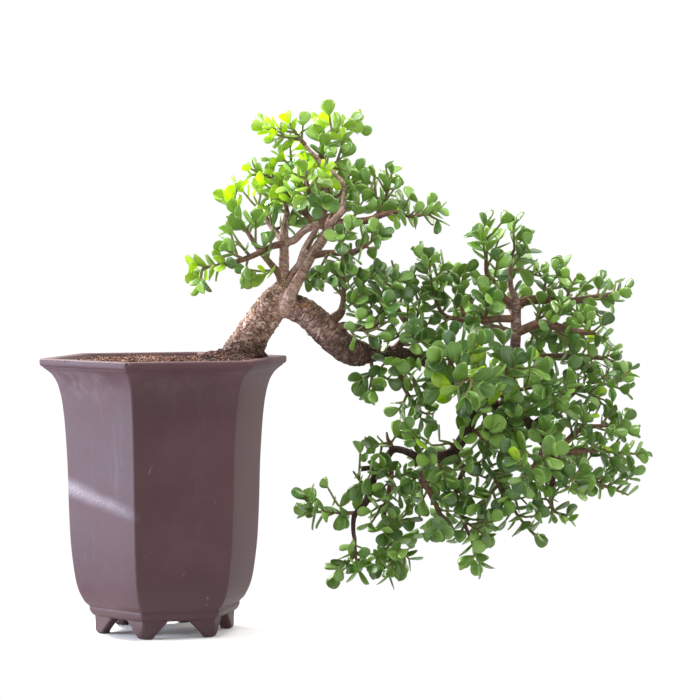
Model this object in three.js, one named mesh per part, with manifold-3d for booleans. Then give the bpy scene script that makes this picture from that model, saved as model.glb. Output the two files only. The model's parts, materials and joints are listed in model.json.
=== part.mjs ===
// Cascade dwarf jade bonsai in a tall six-sided clay pot.
// Millimetres, +Z up. The trunk leaves the pot towards +X and cascades down past the rim on that side.
import * as THREE from 'three';
import { mergeVertices } from 'three/addons/utils/BufferGeometryUtils.js';
import { ConvexGeometry } from 'three/addons/geometries/ConvexGeometry.js';
import Module from 'manifold-3d';

const wasm = await Module();
wasm.setup();

// Driving dimensions
const clearance = 0.3; // between pieces that touch
const potTurn = 16.3; // degrees that the first corner of the pot stands from +X towards +Y
const footHeight = 14;
const cornerFlat = 2.5; // how far each corner of the pot is cut back along its two sides
const drainRadius = 12.5;
const floorTop = 24;
const meshSide = 40;
const meshThickness = 1;
const meshStrips = 3;
const stripWidth = 2.4;
const soilLevel = 226.5;
const moundHeight = 6;
const trunkFoot = { x: 60, y: 0 };
const leafThickness = 2.2;
const leafWidthRatio = 0.8; // of the leaf's length
const stemTip = 0.8; // radius at the tip of a shoot
const sideStem = 1.5; // radius at the root of a stem that gives none
const stemSpare = 0.15; // added to the radius of the three-sided stems

// The plant's points are written as they are seen square on from a point 2443 mm in front of the
// pot's axis: x and z as they show in the pot's middle plane, then y as the depth behind that plane.
const eye = { x: 155, z: 343, distance: 2443 };

const materials = {
    clay: { color: 0x6b5252, roughness: 0.72, metalness: 0 },
    plastic: { color: 0x2b2d2b, roughness: 0.6, metalness: 0 },
    soil: { color: 0x6b4226, roughness: 0.95, metalness: 0 },
    bark: { color: 0x7d6250, roughness: 0.85, metalness: 0 },
    leaf: { color: 0x4f8a2c, roughness: 0.4, metalness: 0 },
};

const part = new THREE.Group();

function addPiece(name, geometry, finish) {
    const mesh = new THREE.Mesh(geometry, new THREE.MeshStandardMaterial(materials[finish]));
    mesh.name = name;
    part.add(mesh);
    return mesh;
}

// Solids for cutting and joining

function toSolid(geometry) {
    const bare = geometry.clone();
    bare.deleteAttribute('normal');
    bare.deleteAttribute('uv');
    const merged = mergeVertices(bare, 1e-4);
    return new wasm.Manifold(new wasm.Mesh({
        numProp: 3,
        vertProperties: new Float32Array(merged.attributes.position.array),
        triVerts: new Uint32Array(merged.index.array),
    }));
}

function toGeometry(solid) {
    const { vertProperties, triVerts } = solid.getMesh();
    const geometry = new THREE.BufferGeometry();
    geometry.setAttribute('position', new THREE.BufferAttribute(new Float32Array(vertProperties), 3));
    geometry.setIndex(Array.from(triVerts));
    geometry.computeVertexNormals();
    return geometry;
}

function joinAll(solids) {
    return solids.reduce((whole, next) => whole.add(next));
}

function largestBody(solid) {
    return solid.decompose().reduce((best, next) => (next.volume() > best.volume() ? next : best));
}

// Six-sided pot

function potCorner(index, radius) {
    const angle = THREE.MathUtils.degToRad(potTurn + 60 * index);
    return new THREE.Vector2(radius * Math.cos(angle), radius * Math.sin(angle));
}

// A turned shape of 12 segments whose rings are drawn out to hexagons with narrow cut corners.
// Rings smaller than roundBelow stay round.
function hexTurned(profile, roundBelow) {
    const points = profile.map(([radius, z]) => new THREE.Vector2(radius, z));
    const geometry = new THREE.LatheGeometry(points, 12);
    geometry.rotateX(Math.PI / 2);
    const position = geometry.attributes.position;
    for (let i = 0; i < position.count; i++) {
        const radius = Math.hypot(position.getX(i), position.getY(i));
        if (radius < 0.01) {
            continue;
        }
        const turn = Math.atan2(position.getY(i), position.getX(i)) / (Math.PI / 6);
        const index = ((Math.round(turn) % 12) + 12) % 12;
        let spot;
        if (radius < roundBelow) {
            const angle = THREE.MathUtils.degToRad(potTurn - 15 + 30 * index);
            spot = new THREE.Vector2(radius * Math.cos(angle), radius * Math.sin(angle));
        } else {
            const corner = Math.floor(index / 2);
            const side = index % 2 ? 1 : -1;
            spot = potCorner(corner, radius).lerp(potCorner(corner + side, radius), cornerFlat / radius);
        }
        position.setXY(i, spot.x, spot.y);
    }
    return geometry;
}

const potOutside = [
    [drainRadius, footHeight], [58, footHeight], [61.6, 15.8], [64.2, 18.6], [65.3, 23], [68.9, 26.5],
    [73.6, 35], [76.5, 45], [79, 62], [80.8, 80], [82.2, 112], [83.1, 143], [85.4, 178], [87.5, 195],
    [91, 209], [95.9, 217.2], [103.2, 222.9], [105.7, 225], [106, 229.2], [105.2, 230],
];
const potInside = [
    [95, 230], [93, 228.6], [86, 212], [80, 200], [76, 172], [75, 115], [72, 64], [63, 34],
    [52, floorTop], [drainRadius, floorTop],
];

function potFoot(index) {
    const corner = potCorner(index, 1);
    const bottom = 0;
    const top = footHeight + 2.5;
    const levels = [
        { z: bottom, reach: 57.8, arm: 7.2, thick: 8 },
        { z: bottom + 1.8, reach: 59.6, arm: 8.8, thick: 9 },
        { z: top, reach: 60.2, arm: 23, thick: 10 },
    ];
    const arms = [1, -1].map((side) => {
        const along = potCorner(index + side, 1).sub(corner);
        const inward = corner.clone().add(potCorner(index + side, 1)).multiplyScalar(-1 / Math.sqrt(3));
        const points = [];
        for (const { z, reach, arm, thick } of levels) {
            const outer = corner.clone().multiplyScalar(reach);
            const end = outer.clone().addScaledVector(along, arm);
            const innerCorner = corner.clone().multiplyScalar(reach - thick / Math.cos(Math.PI / 6));
            const innerEnd = end.clone().addScaledVector(inward, thick);
            for (const spot of [outer, end, innerCorner, innerEnd]) {
                points.push(new THREE.Vector3(spot.x, spot.y, z));
            }
        }
        return toSolid(new ConvexGeometry(points));
    });
    return arms[0].add(arms[1]);
}

function makePot() {
    const profile = [...potOutside, ...potInside, potOutside[0]];
    const feet = [0, 1, 2, 3, 4, 5].map(potFoot);
    return joinAll([toSolid(hexTurned(profile, 30)), ...feet]);
}

// Plastic drain mesh over the hole in the pot's floor: crossing strips
function makeDrainMesh() {
    const strips = [];
    for (let i = 0; i < meshStrips; i++) {
        const offset = (meshSide - stripWidth) * (i / (meshStrips - 1) - 0.5);
        for (const turn of [0, Math.PI / 2]) {
            const strip = new THREE.BoxGeometry(meshSide, stripWidth, meshThickness);
            strip.translate(0, offset, floorTop + clearance + meshThickness / 2);
            strip.rotateZ(turn + THREE.MathUtils.degToRad(potTurn));
            strips.push(toSolid(strip));
        }
    }
    return joinAll(strips);
}

// Paths of wood and shoots

function place(x, y, z) {
    const spread = 1 + y / eye.distance;
    return new THREE.Vector3(eye.x + (x - eye.x) * spread, y, eye.z + (z - eye.z) * spread);
}

// Points [x, y, z, radius] become a smooth run of { at, radius } with so many steps to a span.
function smoothRun(points, steps) {
    const spots = points.map(([x, y, z]) => place(x, y, z));
    const run = [];
    for (let i = 0; i < spots.length - 1; i++) {
        const p1 = spots[i];
        const p2 = spots[i + 1];
        const p0 = spots[i - 1] ?? p1.clone().multiplyScalar(2).sub(p2);
        const p3 = spots[i + 2] ?? p2.clone().multiplyScalar(2).sub(p1);
        const last = i === spots.length - 2 ? steps : steps - 1;
        for (let k = 0; k <= last; k++) {
            const t = k / steps;
            const at = new THREE.Vector3();
            for (const axis of ['x', 'y', 'z']) {
                const m1 = (p2[axis] - p0[axis]) / 2;
                const m2 = (p3[axis] - p1[axis]) / 2;
                const a = 2 * p1[axis] - 2 * p2[axis] + m1 + m2;
                const b = -3 * p1[axis] + 3 * p2[axis] - 2 * m1 - m2;
                at[axis] = a * t ** 3 + b * t ** 2 + m1 * t + p1[axis];
            }
            run.push({ at, radius: points[i][3] + (points[i + 1][3] - points[i][3]) * t });
        }
    }
    return run;
}

// Gives each spot of a run its direction and a normal that is carried along without twisting.
function addFrames(run) {
    run.forEach((spot, i) => {
        const before = run[Math.max(i - 1, 0)].at;
        const after = run[Math.min(i + 1, run.length - 1)].at;
        spot.ahead = after.clone().sub(before).normalize();
        let normal = i ? run[i - 1].normal.clone() : new THREE.Vector3(0, 1, 0);
        normal.addScaledVector(spot.ahead, -normal.dot(spot.ahead));
        if (normal.length() < 0.2) {
            normal = new THREE.Vector3(1, 0, 0).addScaledVector(spot.ahead, -spot.ahead.x);
        }
        spot.normal = normal.normalize();
        spot.across = spot.normal.clone().cross(spot.ahead);
    });
    return run;
}

// A closed cylinder bent along a run. bulge(angle, i) varies its radius.
function bentCylinder(run, sides, grow = 0, bulge = () => 1) {
    const rings = addFrames(run);
    const geometry = new THREE.CylinderGeometry(1, 1, 1, sides, rings.length - 1);
    const position = geometry.attributes.position;
    for (let i = 0; i < position.count; i++) {
        const index = Math.round((position.getY(i) + 0.5) * (rings.length - 1));
        const x = position.getX(i);
        const z = position.getZ(i);
        const { at, radius, normal, across } = rings[index];
        const reach = (radius + grow) * bulge(Math.atan2(z, x), index);
        const spot = at.clone().addScaledVector(normal, x * reach).addScaledVector(across, z * reach);
        position.setXYZ(i, spot.x, spot.y, spot.z);
    }
    return toSolid(geometry);
}

// The grown wood: [x, y, z, radius] along each limb, every limb starting inside the one it grows from
const trunk = [
    [48, 0, 190, 11], [54.5, 0, 211, 14.2], [62.5, 0, 230, 16], [70.5, 0, 243, 15], [78.5, 1, 256, 14.2],
    [89, 2, 271, 13.6], [97, 2, 282, 12], [100, 2, 290, 7.5],
];
const cascade = [
    [92, 2, 274, 9.5], [106, 1, 272.5, 11.2], [118.5, 0, 267, 12], [129.5, -2, 257.5, 12.2],
    [139.5, -4, 247.5, 12.3], [149, -5, 238.5, 12.3], [158, -5, 234, 11.7], [166.5, -4, 233, 10.8],
    [172, -4, 233, 7.8], [182, -3, 233.5, 6], [195, -2, 234, 5.4],
];
const limbs = [
    // down the cascade and out to its lower right tip
    [[192, -2, 234, 5.6], [208, 2, 231, 5.2], [219, 6, 226, 5], [231, 10, 218, 4.8], [246, 14, 207, 4.8],
        [262, 17, 196.5, 4.8], [276, 19, 190, 4.8], [290, 19, 184, 4.8], [303, 16, 176.5, 4.6],
        [312, 11, 166, 4.6], [320, 7, 156, 4.5], [327, 4, 148, 4.2], [328, 2, 138, 3.6], [325, 1, 128, 3],
        [324, 0, 116, 2.4], [324, -1, 106, 2]],
    // the upright limb
    [[284, 20, 187, 4], [287, 22, 203, 4.6], [291, 24, 218, 4.8], [293, 25, 232, 4.8], [294, 26, 247, 4.6],
        [294, 26, 262, 4.6], [294, 26, 275, 4.2], [290, 28, 287, 2.6], [289, 29, 299, 2.2]],
    // back down to the left
    [[263, 17, 197, 4], [261, 14, 188, 4.8], [258, 10, 179, 4.8], [254, 6, 169, 4.9], [248, 2, 159, 4.9],
        [241, -2, 150, 4.7], [232, -6, 147, 4.5], [222, -8, 146, 4.3], [213, -9, 144, 4]],
    [[215, -9, 144, 3.8], [206, -6, 149, 3.3], [198, -2, 152, 3.1], [191, 2, 152, 3.1], [186, 2, 145, 3],
        [181, 0, 138, 3.2], [176, -2, 130, 3.2], [172, -3, 119, 3.3], [169, -4, 109, 3.2], [164, -5, 102.5, 2.9],
        [159, -6, 97, 2.5], [158, -6, 86, 2], [159, -6, 77, 1.9]],
    [[182, 0, 138, 2.6], [173, -3, 137, 2.5], [163, -6, 136, 2.4]],
    // the crown: its leader, a second leader and the limb that joins them
    [[98, -5, 264, 4], [102, -10, 274, 5.4], [107, -10.5, 285, 5.3], [112, -9, 294, 4.9], [117, -7, 303, 4.4],
        [121, -5, 312, 4.7], [128, -3, 322, 4.6], [135, -2, 332, 4.3], [141, -1, 342, 3.8], [148, -2, 353, 3.1],
        [150, -4, 365, 2.7], [149, -6, 376, 2.6], [140, -7, 385, 2.5], [128, -8, 396, 2.4], [117, -7, 408, 2]],
    [[98, 3, 281, 6], [99, 4, 293, 5], [100, 5, 305, 4.5], [100, 6, 317, 4.2], [100, 7, 328, 4],
        [101, 8, 340, 3.3], [103, 9, 352, 2.4]],
    [[100, 7, 325, 3.4], [109, 4, 328, 3.3], [116, 2, 335, 3.2], [125, 0, 339.5, 3.5], [136, -2, 341, 3.8],
        [142, -1, 342, 3.6]],
    // beside the leader, and a stub cut off above it
    [[101, -1, 284, 3], [107, -2, 299, 2.4], [112, -3, 308, 2.2], [116, -4, 319, 2.1], [122, -4, 330, 2],
        [128, -3, 338, 1.9]],
    [[142, -2, 344, 3], [147, -5, 349.5, 2.9], [152, -8, 354.5, 2.8]],
];

// The near side of these limbs is kept open, because the leaves don't hide them in the photo.
const openLimbs = [5, 6, 7];
const openDepth = 25;

function roughBark(angle, i) {
    return 1 + 0.035 * Math.sin(3 * angle + 1.7 * i) + 0.025 * Math.sin(5 * angle - 2.3 * i);
}

function makeWood(grow) {
    const solids = [
        bentCylinder(smoothRun(trunk, 1), 12, grow, roughBark),
        bentCylinder(smoothRun(cascade, 1), 12, grow, roughBark),
    ];
    for (const limb of limbs) {
        solids.push(bentCylinder(smoothRun(limb, 1), 5, grow));
    }
    return joinAll(solids);
}

// Leafy branches. Each has hand-placed stems [x, y, z, radius], the first one rooted in the wood and the
// others in the first; past the last radius given a stem tapers to its tip. leaf is the length of a leaf,
// and shoots and leaves begin past the part of the first stem that bare gives.
const sprays = [
    // crown
    { leaf: 18, bare: 0.45, pitch: 18, stems: [[[99, 3, 288, 4.4], [96, 3, 299, 3.3], [89, 3, 308, 2.7], [82, 4, 316, 2.3],
        [75, 5, 326, 2], [66, 6, 340], [57, 8, 353], [51, 9, 363]], [[89, 3, 308], [85, -6, 313], [83, -12, 322]],
        [[95, 3, 301], [90, -2, 303], [85, -5, 299]]] },
    { leaf: 16, bare: 0.4, pitch: 17, stems: [[[100, 6, 325, 3.6], [90, 2, 322.5, 2.8],
        [80, -2, 317.5, 2.6], [70, -6, 313, 2.4], [59, -9, 309.5, 2.2], [48, -12, 307, 2], [38, -13, 305.5], [28, -14, 307]],
        [[72, -5, 314], [66, -12, 321], [59, -16, 327]], [[34, -13, 306], [31, -15, 301], [30, -16, 296]],
        [[66, -8, 312], [58, -14, 316], [52, -17, 319]]] },
    { leaf: 15, bare: 0.1, stems: [[[103, 9, 351, 2], [100, 4, 364], [98, 1, 378]]] },
    { leaf: 15, bare: 0.5, stems: [[[103, 1, 292, 3.8], [109, 7, 303, 3], [115, 13, 310, 2.7],
        [120, 19, 322, 2.4], [127, 25, 336, 2], [133, 33, 347], [139, 41, 357]],
        [[108, 6, 301], [117, 2, 296], [123, 0, 292]]] },
    { leaf: 15, bare: 0.5, stems: [[[145, -2, 341.5, 3.9], [157, -6, 343, 3.5], [166, -9, 343.5, 3.2],
        [174, -11, 345.5, 2.8], [183, -14, 349, 2.4], [193, -17, 351, 2], [207, -20, 347.5], [220, -22, 350],
        [229, -23, 352]], [[173, -10, 345, 2.2], [180, -6, 351, 2], [184, -2, 361], [188, 0, 372], [190, 1, 383]],
        [[183, -3, 358], [174, 5, 367], [167, 9, 376], [164, 10, 384]],
        [[157, -6, 343.5], [161, -4, 352], [166, -3, 360]]] },
    { leaf: 14, bare: 0.1, stems: [[[118, -7, 407, 1.9], [111, -8, 416], [105, -9, 425]],
        [[115, -7.5, 411], [106, -4, 413], [96, -2, 415], [84, 0, 421]]] },
    { leaf: 17, bare: 0.45, stems: [[[146, -1, 350, 3.2], [140, 9, 361, 2.5], [135, 12, 373, 2.3],
        [131, 15, 388, 2.1], [131, 17, 401, 1.9], [136, 19, 412], [146, 20, 419], [154, 21, 426]],
        [[140, 9, 361, 1.8], [150, 13, 369], [160, 12, 377]], [[132, 14.5, 386], [141, 15, 391], [149, 16, 397]]] },
    { leaf: 15, bare: 0.45, stems: [[[132, -2, 338, 3.6], [133, -4, 351, 3.3], [134, -5, 363, 3.1],
        [134, -6, 375, 2.5], [135, -8, 386], [137, -10, 397]],
        [[133, -4, 352, 2.6], [126, -20, 360, 2.3], [121, -34, 368, 2], [119, -34, 380], [118, -32, 392]]] },
    { leaf: 13, bare: 0.4, stems: [[[124, 0, 339, 3.2], [120, 6, 348, 2.7], [111, 10, 355, 2.5],
        [104, 13, 363, 2.3], [98, 15, 373, 2], [90, 18, 379], [81, 20, 383], [73, 21, 387]],
        [[119, 6, 349, 1.9], [118, 4, 362], [118, 4, 377], [117, 5, 389]], [[110, 10, 356], [106, 4, 349], [103, 1, 341]],
        [[118, 4, 378], [110, 8, 386], [102, 10, 393], [97, 11, 398]]] },
    { leaf: 15, bare: 0.45, stems: [[[124, -4, 315, 3.4], [137, -10, 317, 2.7], [150, -16, 317, 2.5],
        [161, -21, 319, 2.1], [171, -26, 325], [180, -29, 333]], [[143, -13, 317], [149, -19, 328], [157, -24, 339]],
        [[137, -10, 317], [133, -15, 309], [128, -18, 301]], [[150, -16, 317], [147, -20, 307], [142, -22, 299]]] },
    { leaf: 15, bare: 0.35, stems: [[[100, 7, 327, 3.2], [92, 24, 336, 2.6], [86, 40, 345, 2.1], [80, 50, 354],
        [75, 58, 364]], [[92, 24, 336], [100, 30, 340], [108, 34, 346]]] },
    { leaf: 15, bare: 0.35, stems: [[[137, -1, 341, 3], [141, 19, 350, 2.5], [146, 38, 358, 2], [151, 48, 368],
        [156, 56, 379]]] },
    // between the trunk and the upright limb
    { leaf: 17, bare: 0.25, stems: [[[135, -3, 258, 5], [143, -4, 263, 4.6], [148, -5, 268, 3.6],
        [149.5, -6, 276, 2.4], [150, -6, 287, 2.1], [150, -7, 299], [149, -8, 310]],
        [[149.8, -6, 280], [143, -10, 288], [136, -12, 296]]] },
    { leaf: 16, bare: 0.25, stems: [[[139, -5, 251, 4.4], [150, -11, 256, 3.6], [162, -14, 254.5, 3.1],
        [173, -16, 254, 2.4], [181, -21, 263], [183, -26, 279], [184, -28, 294]],
        [[163, -14, 254.5, 1.9], [164, -8, 268], [163, -4, 282], [163, -2, 297]],
        [[166, -15, 254.3], [170, -22, 249], [177, -27, 247]], [[155, -12, 255.5], [158, -20, 249], [165, -25, 246]]] },
    { leaf: 16, bare: 0.2, stems: [[[193, -2, 236, 4.2], [200, 2, 244, 3.5], [206, 5, 251, 3.1],
        [202, 6, 259, 2.6], [196, 6, 268, 2.4], [192, 7, 279, 2.1], [193, 8, 291], [192, 9, 303], [190, 10, 311]],
        [[205, 5, 252, 1.9], [212, 12, 266], [214, 18, 281]], [[200, 2, 244.5], [194, -8, 250], [190, -14, 258]],
        [[198, 1, 241], [206, -8, 240], [214, -13, 243], [221, -16, 240]]] },
    { leaf: 16, bare: 0.15, stems: [[[293, 26, 262, 3.4], [280, 18, 262, 3.1], [268, 12, 261, 2.8],
        [255, 6, 261, 2.5], [243, 2, 262, 2.1], [233, 0, 266], [226, -3, 280], [223, -4, 297], [221, -5, 312]],
        [[252, 5, 261, 1.9], [248, 9, 274], [247, 12, 289], [246, 14, 303]],
        [[268, 12, 261, 1.9], [270, 3, 272], [267, -5, 284]]] },
    { leaf: 17, bare: 0.3, stems: [[[293, 26, 271, 3.6], [284, 25, 280, 2.9], [276, 24, 289, 2.5],
        [270, 22, 299, 2.2], [269, 22, 311], [269, 22, 325], [268, 22, 340]]] },
    { leaf: 17, bare: 0.1, stems: [[[289, 29, 298, 2], [290, 30, 313], [294, 31, 322], [299, 32, 328]],
        [[289.3, 29.5, 303], [299, 37, 303], [309, 41, 301]]] },
    { leaf: 15, bare: 0.15, stems: [[[293, 26, 250, 2.8], [282, 34, 254, 2.4], [272, 42, 256, 2], [264, 50, 260],
        [255, 56, 268]]] },
    // right side
    { leaf: 15, bare: 0.2, stems: [[[294, 26, 273, 3.8], [303, 30, 277, 4.1], [316, 36, 278, 4],
        [335, 46, 276.5, 3.5], [350, 54, 278, 3], [365, 62, 281, 2.4], [374, 66, 283], [384, 70, 286]],
        [[317, 36, 278, 1.9], [318, 38, 289], [321, 40, 299]], [[336, 46, 276.5, 1.9], [339, 44, 286], [344, 42, 296]],
        [[352, 55, 278.3], [357, 52, 270], [364, 50, 264]]] },
    { leaf: 15, bare: 0.2, stems: [[[294, 26, 250, 4], [303, 22, 254, 3.9], [314, 18, 258, 3.8],
        [326, 14, 256, 3.6], [340, 12, 252, 3.3], [351, 12, 250.5, 2.7], [359, 11, 250], [367, 9, 246]],
        [[354, 11, 250.4], [357, 3, 257]], [[306, 21, 255], [315, 30, 263], [325, 37, 268], [334, 41, 271]],
        [[326, 14, 256], [331, 20, 247], [338, 26, 243]], [[304, 22, 254], [312, 29, 246], [321, 34, 243]]] },
    { leaf: 15, bare: 0.15, stems: [[[293, 25, 232, 3.8], [305, 34, 229.5, 3.3], [320, 44, 230, 3.1],
        [336, 52, 230.5, 2.8], [351, 58, 230, 2.6], [364, 64, 229.5, 2.2], [373, 67, 227], [382, 70, 224]],
        [[341, 54, 230.4, 1.9], [347, 44, 223], [352, 36, 215]]] },
    // middle of the cascade, forward and back
    { leaf: 20, bare: 0.25, stems: [[[230, 10, 219, 3.4], [237, -9, 221, 2.8], [244, -28, 218, 2.3],
        [250, -42, 214, 2], [256, -52, 211], [263, -60, 206]], [[253, -48, 213], [246, -56, 204]],
        [[243, -26, 218.5, 1.9], [238, -37, 228], [238, -44, 237]]] },
    { leaf: 20, bare: 0.2, stems: [[[276, 19, 190, 3], [278, 4, 200, 2.5], [282, -10, 210, 2.1],
        [287, -19, 217], [293, -27, 224]]] },
    { leaf: 15, bare: 0.2, stems: [[[263, 17, 197, 3.2], [268, 40, 202, 2.6], [272, 60, 208, 2.1],
        [276, 72, 214], [281, 84, 221]]] },
    { leaf: 15, bare: 0.2, stems: [[[294, 26, 262, 3], [290, 44, 270, 2.4], [285, 60, 277, 2], [281, 71, 286],
        [277, 81, 295]]] },
    { leaf: 17, bare: 0.4, stems: [[[192, -3, 232, 4], [196, -5, 220, 2.8], [199, -6, 209, 2.3], [203, -8, 200],
        [210, -9, 189], [215, -10, 178]], [[197, -5, 218], [205, -12, 216], [211, -16, 209]],
        [[193, -3.5, 229], [186, -10, 226], [181, -14, 221]]] },
    { leaf: 17, bare: 0.4, stems: [[[172, -5, 231, 1.8], [174, -8, 219], [173, -10, 209], [171, -11, 202]],
        [[174, -8, 219], [181, -11, 215], [187, -13, 211]]] },
    { leaf: 18, bare: 0.1, stems: [[[288, 21, 200, 2.2], [300, 14, 203], [312, 8, 205], [322, 0, 206]]] },
    { leaf: 20, bare: 0.1, stems: [[[246, 14, 206, 2.2], [247, 2, 194], [248, -8, 182]]] },
    { leaf: 18, bare: 0.1, stems: [[[278, 19, 189, 2.2], [284, 8, 180], [290, -4, 172], [294, -14, 166]]] },
    { leaf: 18, bare: 0.1, stems: [[[262, 16, 195, 2.2], [268, 4, 184], [272, -8, 174]]] },
    // lower left
    { leaf: 18, bare: 0.1, stems: [[[255, 7, 171, 2.2], [264, -2, 164], [272, -10, 158], [280, -16, 150]]] },
    { leaf: 17, bare: 0.1, stems: [[[244, -1, 154, 2], [238, -12, 158], [230, -18, 160]]] },
    { leaf: 17, bare: 0.1, stems: [[[228, -7, 146, 1.9], [232, -16, 137], [235, -24, 128]]] },
    { leaf: 17, bare: 0.2, stems: [[[214, -9, 143, 1.8], [213, -12, 154], [212, -14, 163]]] },
    { leaf: 17, bare: 0.1, stems: [[[213, -9, 143, 3.8], [213, -10, 135, 3.4], [216, -12, 126, 3],
        [222, -14, 117, 2.6], [227, -15, 106, 2.3], [231, -16, 97, 2], [228, -18, 89], [222, -19, 82]],
        [[230, -16, 99, 1.7], [238, -17, 92], [243, -17, 84]]] },
    { leaf: 17, bare: 0.1, stems: [[[241, -2, 150, 3.4], [249, -4, 139, 2.9], [256, -5, 136, 2.6],
        [265, -7, 141, 2.2], [273, -9, 134, 2], [280, -11, 123, 1.9], [288, -12, 110], [296, -13, 97],
        [304, -14, 87], [310, -15, 80]], [[252, -4, 138, 2.6], [247, -6, 127, 2.3], [244, -8, 116, 2.1],
        [246, -9, 104, 2], [250, -10, 93, 1.9], [255, -11, 81], [260, -11, 69], [264, -11, 58]],
        [[280, -11, 123], [272, -17, 114], [264, -21, 106]], [[250, -10, 93], [260, -17, 86], [268, -21, 80]]] },
    { leaf: 16, bare: 0.15, stems: [[[246, 2, 157, 3], [240, 22, 151, 2.4], [232, 42, 142, 1.9], [227, 52, 134],
        [222, 62, 124]]] },
    { leaf: 15, bare: 0.2, stems: [[[191, 2, 151, 2.6], [189, 4, 157, 2.2], [187, 5, 161], [186, 6, 167]],
        [[188.7, 4, 158], [179, -2, 156], [170, -6, 150]]] },
    { leaf: 16, bare: 0.15, stems: [[[187, 2, 146, 2.6], [190, 4, 133, 2.3], [188, 3, 119, 2.1],
        [185, 1, 105, 2], [184, -1, 93, 1.9], [187, -2, 81], [191, -2, 70.5], [192, -2, 59], [188, -2, 46]],
        [[185, 1, 106], [179, -7, 104], [173, -11, 100]], [[184, -1, 94], [193, -9, 93.5], [203, -13, 92]],
        [[190, -2, 73], [198, -7, 68], [205, -10, 60]]] },
    { leaf: 18, bare: 0.2, stems: [[[172, -3, 120, 2], [164, -12, 126], [158, -20, 134]]] },
    { leaf: 17, bare: 0.2, stems: [[[181, 0, 139, 2], [186, -12, 132], [192, -20, 124], [197, -26, 114]]] },
    { leaf: 17, bare: 0.3, stems: [[[159, -6, 79, 1.8], [160, -6, 64], [162, -6, 51]],
        [[160, -6, 66], [168, -8, 60], [173, -9, 52]], [[160, -6, 63], [152, -9, 57], [146, -11, 54]]] },
    { leaf: 16, bare: 0.2, stems: [[[161, -5, 99, 1.8], [149, -9, 99], [137, -11, 100], [128, -13, 100],
        [120, -14, 99]]] },
    // lower right
    { leaf: 15, bare: 0.1, stems: [[[324, -1, 108, 1.8], [326, -2, 101], [332, -2, 98], [338, -2, 96]],
        [[325, -1.5, 105], [316, -8, 100], [307, -12, 95]], [[325, -1.5, 104], [321, -8, 110], [315, -14, 111]]] },
    { leaf: 14, bare: 0.15, stems: [[[327, 4, 149, 3.4], [337, 10, 159, 2.9], [345, 16, 167, 2.6],
        [353, 22, 171, 2.2], [364, 28, 172], [376, 33, 172], [391, 37, 167]],
        [[330, 5, 151, 2.8], [341, 8, 150, 2.5], [352, 14, 151.5, 2.2], [364, 21, 152, 2], [378, 26, 150],
            [394, 29, 149]]] },
    { leaf: 15, bare: 0.15, stems: [[[328, 2, 139, 2.8], [338, 9, 133, 2.3], [348, 15, 130, 2], [358, 20, 127, 1.9],
        [368, 22, 122], [379, 24, 118], [389, 25, 114]]] },
    { leaf: 14, bare: 0.15, stems: [[[311, 12, 168, 3], [321, 20, 177, 2.5], [330, 28, 187, 2.2],
        [340, 36, 197, 2], [349, 42, 205, 1.9], [361, 46, 209], [374, 50, 206], [385, 53, 202]],
        [[350, 42.3, 205.2], [358, 36, 198], [368, 31, 194]]] },
    { leaf: 15, bare: 0.2, stems: [[[317, 9, 160, 3], [323, 32, 156, 2.5], [330, 54, 151, 2], [333, 66, 146],
        [337, 76, 142]]] },
    { leaf: 18, bare: 0.2, stems: [[[319, 7, 157, 3], [316, -14, 150, 2.5], [312, -32, 143, 2], [307, -42, 135],
        [300, -50, 126]]] },
    { leaf: 18, bare: 0.1, stems: [[[326, 1, 132, 2], [316, -6, 126], [306, -12, 119]]] },
    { leaf: 18, bare: 0.1, stems: [[[325, 1, 125, 1.9], [334, -8, 122], [344, -14, 119]]] },
    { leaf: 17, bare: 0.1, stems: [[[307, 14, 173, 2], [318, 2, 182], [326, -8, 190], [333, -14, 198]]] },
];

// How shoots and leaves grow, the same for every spray
const shootPitch = 8; // between side shoots
const shootLength = [12, 22];
const firstLeaf = 5; // from a shoot's root
const leafyRadius = 2.15; // leaves stand on stems thinner than this
const woodyRadius = 3; // stems from here up are four-sided
const pairPitch = 0.42; // of the leaf's length, between pairs of leaves
const bladeGap = 0.45; // kept free around every leaf
const rootFree = 4.5; // leaves of one spray may crowd this near to a leaf's root
const cellSize = 8;
const goldenTurn = THREE.MathUtils.degToRad(137.5);
const leafTilts = [0, -16, 14, -30, 26, -42, 8, -8]; // degrees, tried in turn until the leaf is clear
const leafTwists = [0, 14, -24, 36, -44, 58, 80, -80];

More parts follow.
